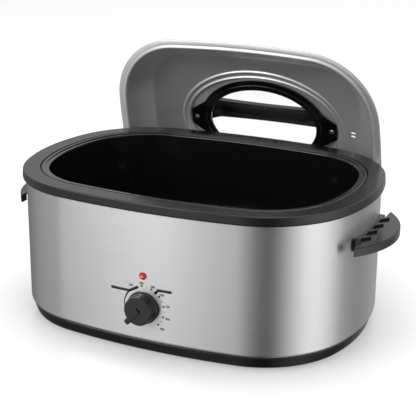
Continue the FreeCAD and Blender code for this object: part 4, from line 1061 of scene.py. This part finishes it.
class ROASTER_OT_stage(RoasterStep, bpy.types.Operator):
    """Pale floor, soft studio light and the camera"""
    bl_idname = "roaster.stage"
    bl_label = "Studio"

    def execute(self, context):
        self.floor()
        self.world(context.scene)
        for name, values in LAMPS.items():
            area_lamp(name, *values)
        self.camera(context.scene)
        context.scene.view_settings.view_transform = "Standard"
        return {"FINISHED"}

    def floor(self):
        """Sheet under the object, which the steel doesn't mirror."""
        mesh = bpy.data.meshes.new("studio_floor")
        work = bmesh.new()
        bmesh.ops.create_grid(work, x_segments=FLOOR_STEPS, y_segments=FLOOR_STEPS, size=FLOOR_REACH)
        work.to_mesh(mesh)
        work.free()
        mesh.materials.append(self.floor_material())
        floor = placed("studio_floor", mesh)
        floor.visible_glossy = False

    def floor_material(self):
        """White acrylic sheet: rays of sight find it nearly white, with the object's real shadow kept and a
        painted shadow darkening its colour round the body's foot.
        """
        material, tree, shader = start_material("white_acrylic_floor", Roughness=0.28, IOR=1.45)
        # Painted shadow: where the body is close, ambient occlusion darkens the floor's base colour,
        # deepest towards the feet.
        painted_shadow_openness = add(tree, "ShaderNodeAmbientOcclusion", {"Distance": FLOOR_SHADOW_REACH}).outputs["AO"]
        tones = shades(self.colours.floor, FLOOR_SHADOW_DEPTH, 1.0)
        tree.links.new(vary(tree, painted_shadow_openness, *tones), shader.inputs["Base Color"])
        glow = add(tree, "ShaderNodeEmission", {"Color": WHITE, "Strength": FLOOR_GLOW})
        looking = ray_share(tree, "Is Camera Ray", "Is Glossy Ray", "Is Transmission Ray")
        share = add(tree, "ShaderNodeMath", {0: looking, 1: FLOOR_GLOW_SHARE}, operation="MULTIPLY")
        mix = add(tree, "ShaderNodeMixShader", {0: share.outputs[0], 1: shader.outputs[0],
                                                2: glow.outputs[0]})
        tree.links.new(mix.outputs[0], tree.nodes["Material Output"].inputs["Surface"])
        return material

    def world(self, scene):
        """Ring of soft boxes and black flags above a dark table, under a white ceiling."""
        world = bpy.data.worlds.new("studio")
        world.use_nodes = True
        tree = world.node_tree
        way = add(tree, "ShaderNodeTexCoord").outputs["Generated"]
        turned = add(tree, "ShaderNodeMapping", {"Vector": way, "Rotation": (0, 0, RING_TURN)})
        around = add(tree, "ShaderNodeTexGradient", {"Vector": turned.outputs["Vector"]},
                     gradient_type="RADIAL")
        ramp = add(tree, "ShaderNodeValToRGB", {"Fac": around.outputs["Fac"]})
        ramp.color_ramp.interpolation = "EASE"
        stops = ramp.color_ramp.elements
        for index, (angle, level) in enumerate(STUDIO_RING):
            stop = stops[index] if index < 2 else stops.new(1.0)
            stop.position = (angle + 180) / 360
            stop.color = (*[level / STUDIO_PEAK] * 3, 1)
        height = add(tree, "ShaderNodeSeparateXYZ", {"Vector": way}).outputs["Z"]
        ceiling = vary(tree, height, 0.0, 1.0, CEILING_HEIGHTS)
        table = vary(tree, height, STUDIO_TABLE * STUDIO_PEAK, STUDIO_PEAK, TABLE_HEIGHTS)
        sides = add(tree, "ShaderNodeMath", {0: ramp.outputs["Color"], 1: table}, operation="MULTIPLY")
        lit = add(tree, "ShaderNodeMix", {"Factor": ceiling, "A": sides.outputs[0], "B": STUDIO_CEILING},
                  data_type="FLOAT")
        # The ring gives light and reflections. Seen straight or through glass, all is plain white.
        seen = ray_share(tree, "Is Camera Ray", "Is Transmission Ray")
        strength = add(tree, "ShaderNodeMix", {"Factor": seen, "A": lit.outputs["Result"], "B": 1.0},
                       data_type="FLOAT")
        background = tree.nodes["Background"]
        background.inputs["Color"].default_value = WHITE
        tree.links.new(strength.outputs["Result"], background.inputs["Strength"])
        scene.world = world

    def camera(self, scene):
        """Long lens to the right of the knob and a little above the rim."""
        camera = bpy.data.cameras.new("studio_camera")
        camera.lens, camera.sensor_width = CAMERA_LENS, CAMERA_SENSOR
        camera.shift_x, camera.shift_y = CAMERA_SHIFT
        camera.clip_end = CAMERA_FAR
        around, above = math.radians(CAMERA_AZIMUTH), math.radians(CAMERA_HEIGHT)
        back = Vector((math.sin(around) * math.cos(above), -math.cos(around) * math.cos(above),
                       math.sin(above)))
        turn = (-back).to_track_quat("-Z", "Y").to_matrix()
        turn = turn @ Matrix.Rotation(math.radians(CAMERA_ROLL), 3, "Z")
        holder = placed("studio_camera", camera)
        holder.matrix_world = Matrix.Translation(CAMERA_TARGET + back * CAMERA_DISTANCE) @ turn.to_4x4()
        scene.camera = holder


# ---- Add-on

OPERATORS = (ROASTER_OT_body, ROASTER_OT_fittings, ROASTER_OT_inside, ROASTER_OT_handles, ROASTER_OT_dial,
             ROASTER_OT_knob, ROASTER_OT_pan, ROASTER_OT_rack, ROASTER_OT_lid, ROASTER_OT_window,
             ROASTER_OT_stage)


class ROASTER_PT_panel(bpy.types.Panel):
    """Lists the roaster's build steps"""
    bl_idname = "ROASTER_PT_panel"
    bl_label = "Roaster Oven"
    bl_space_type = "VIEW_3D"
    bl_region_type = "UI"
    bl_category = "Roaster"

    def draw(self, context):
        for group in (context.scene.roaster_sizes, context.scene.roaster_colours):
            for name in group.bl_rna.properties.keys():
                if name not in ("rna_type", "name"):
                    self.layout.prop(group, name)
        for operator in OPERATORS:
            self.layout.operator(operator.bl_idname)


CLASSES = (RoasterColours, RoasterSizes, *OPERATORS, ROASTER_PT_panel)


def register():
    for item in CLASSES:
        bpy.utils.register_class(item)
    bpy.types.Scene.roaster_colours = bpy.props.PointerProperty(type=RoasterColours)
    bpy.types.Scene.roaster_sizes = bpy.props.PointerProperty(type=RoasterSizes)


def unregister():
    del bpy.types.Scene.roaster_sizes
    del bpy.types.Scene.roaster_colours
    for item in reversed(CLASSES):
        bpy.utils.unregister_class(item)


def main():
    register()
    for operator in OPERATORS:
        group, name = operator.bl_idname.split(".")
        getattr(getattr(bpy.ops, group), name)()


if __name__ == "__main__":
    main()
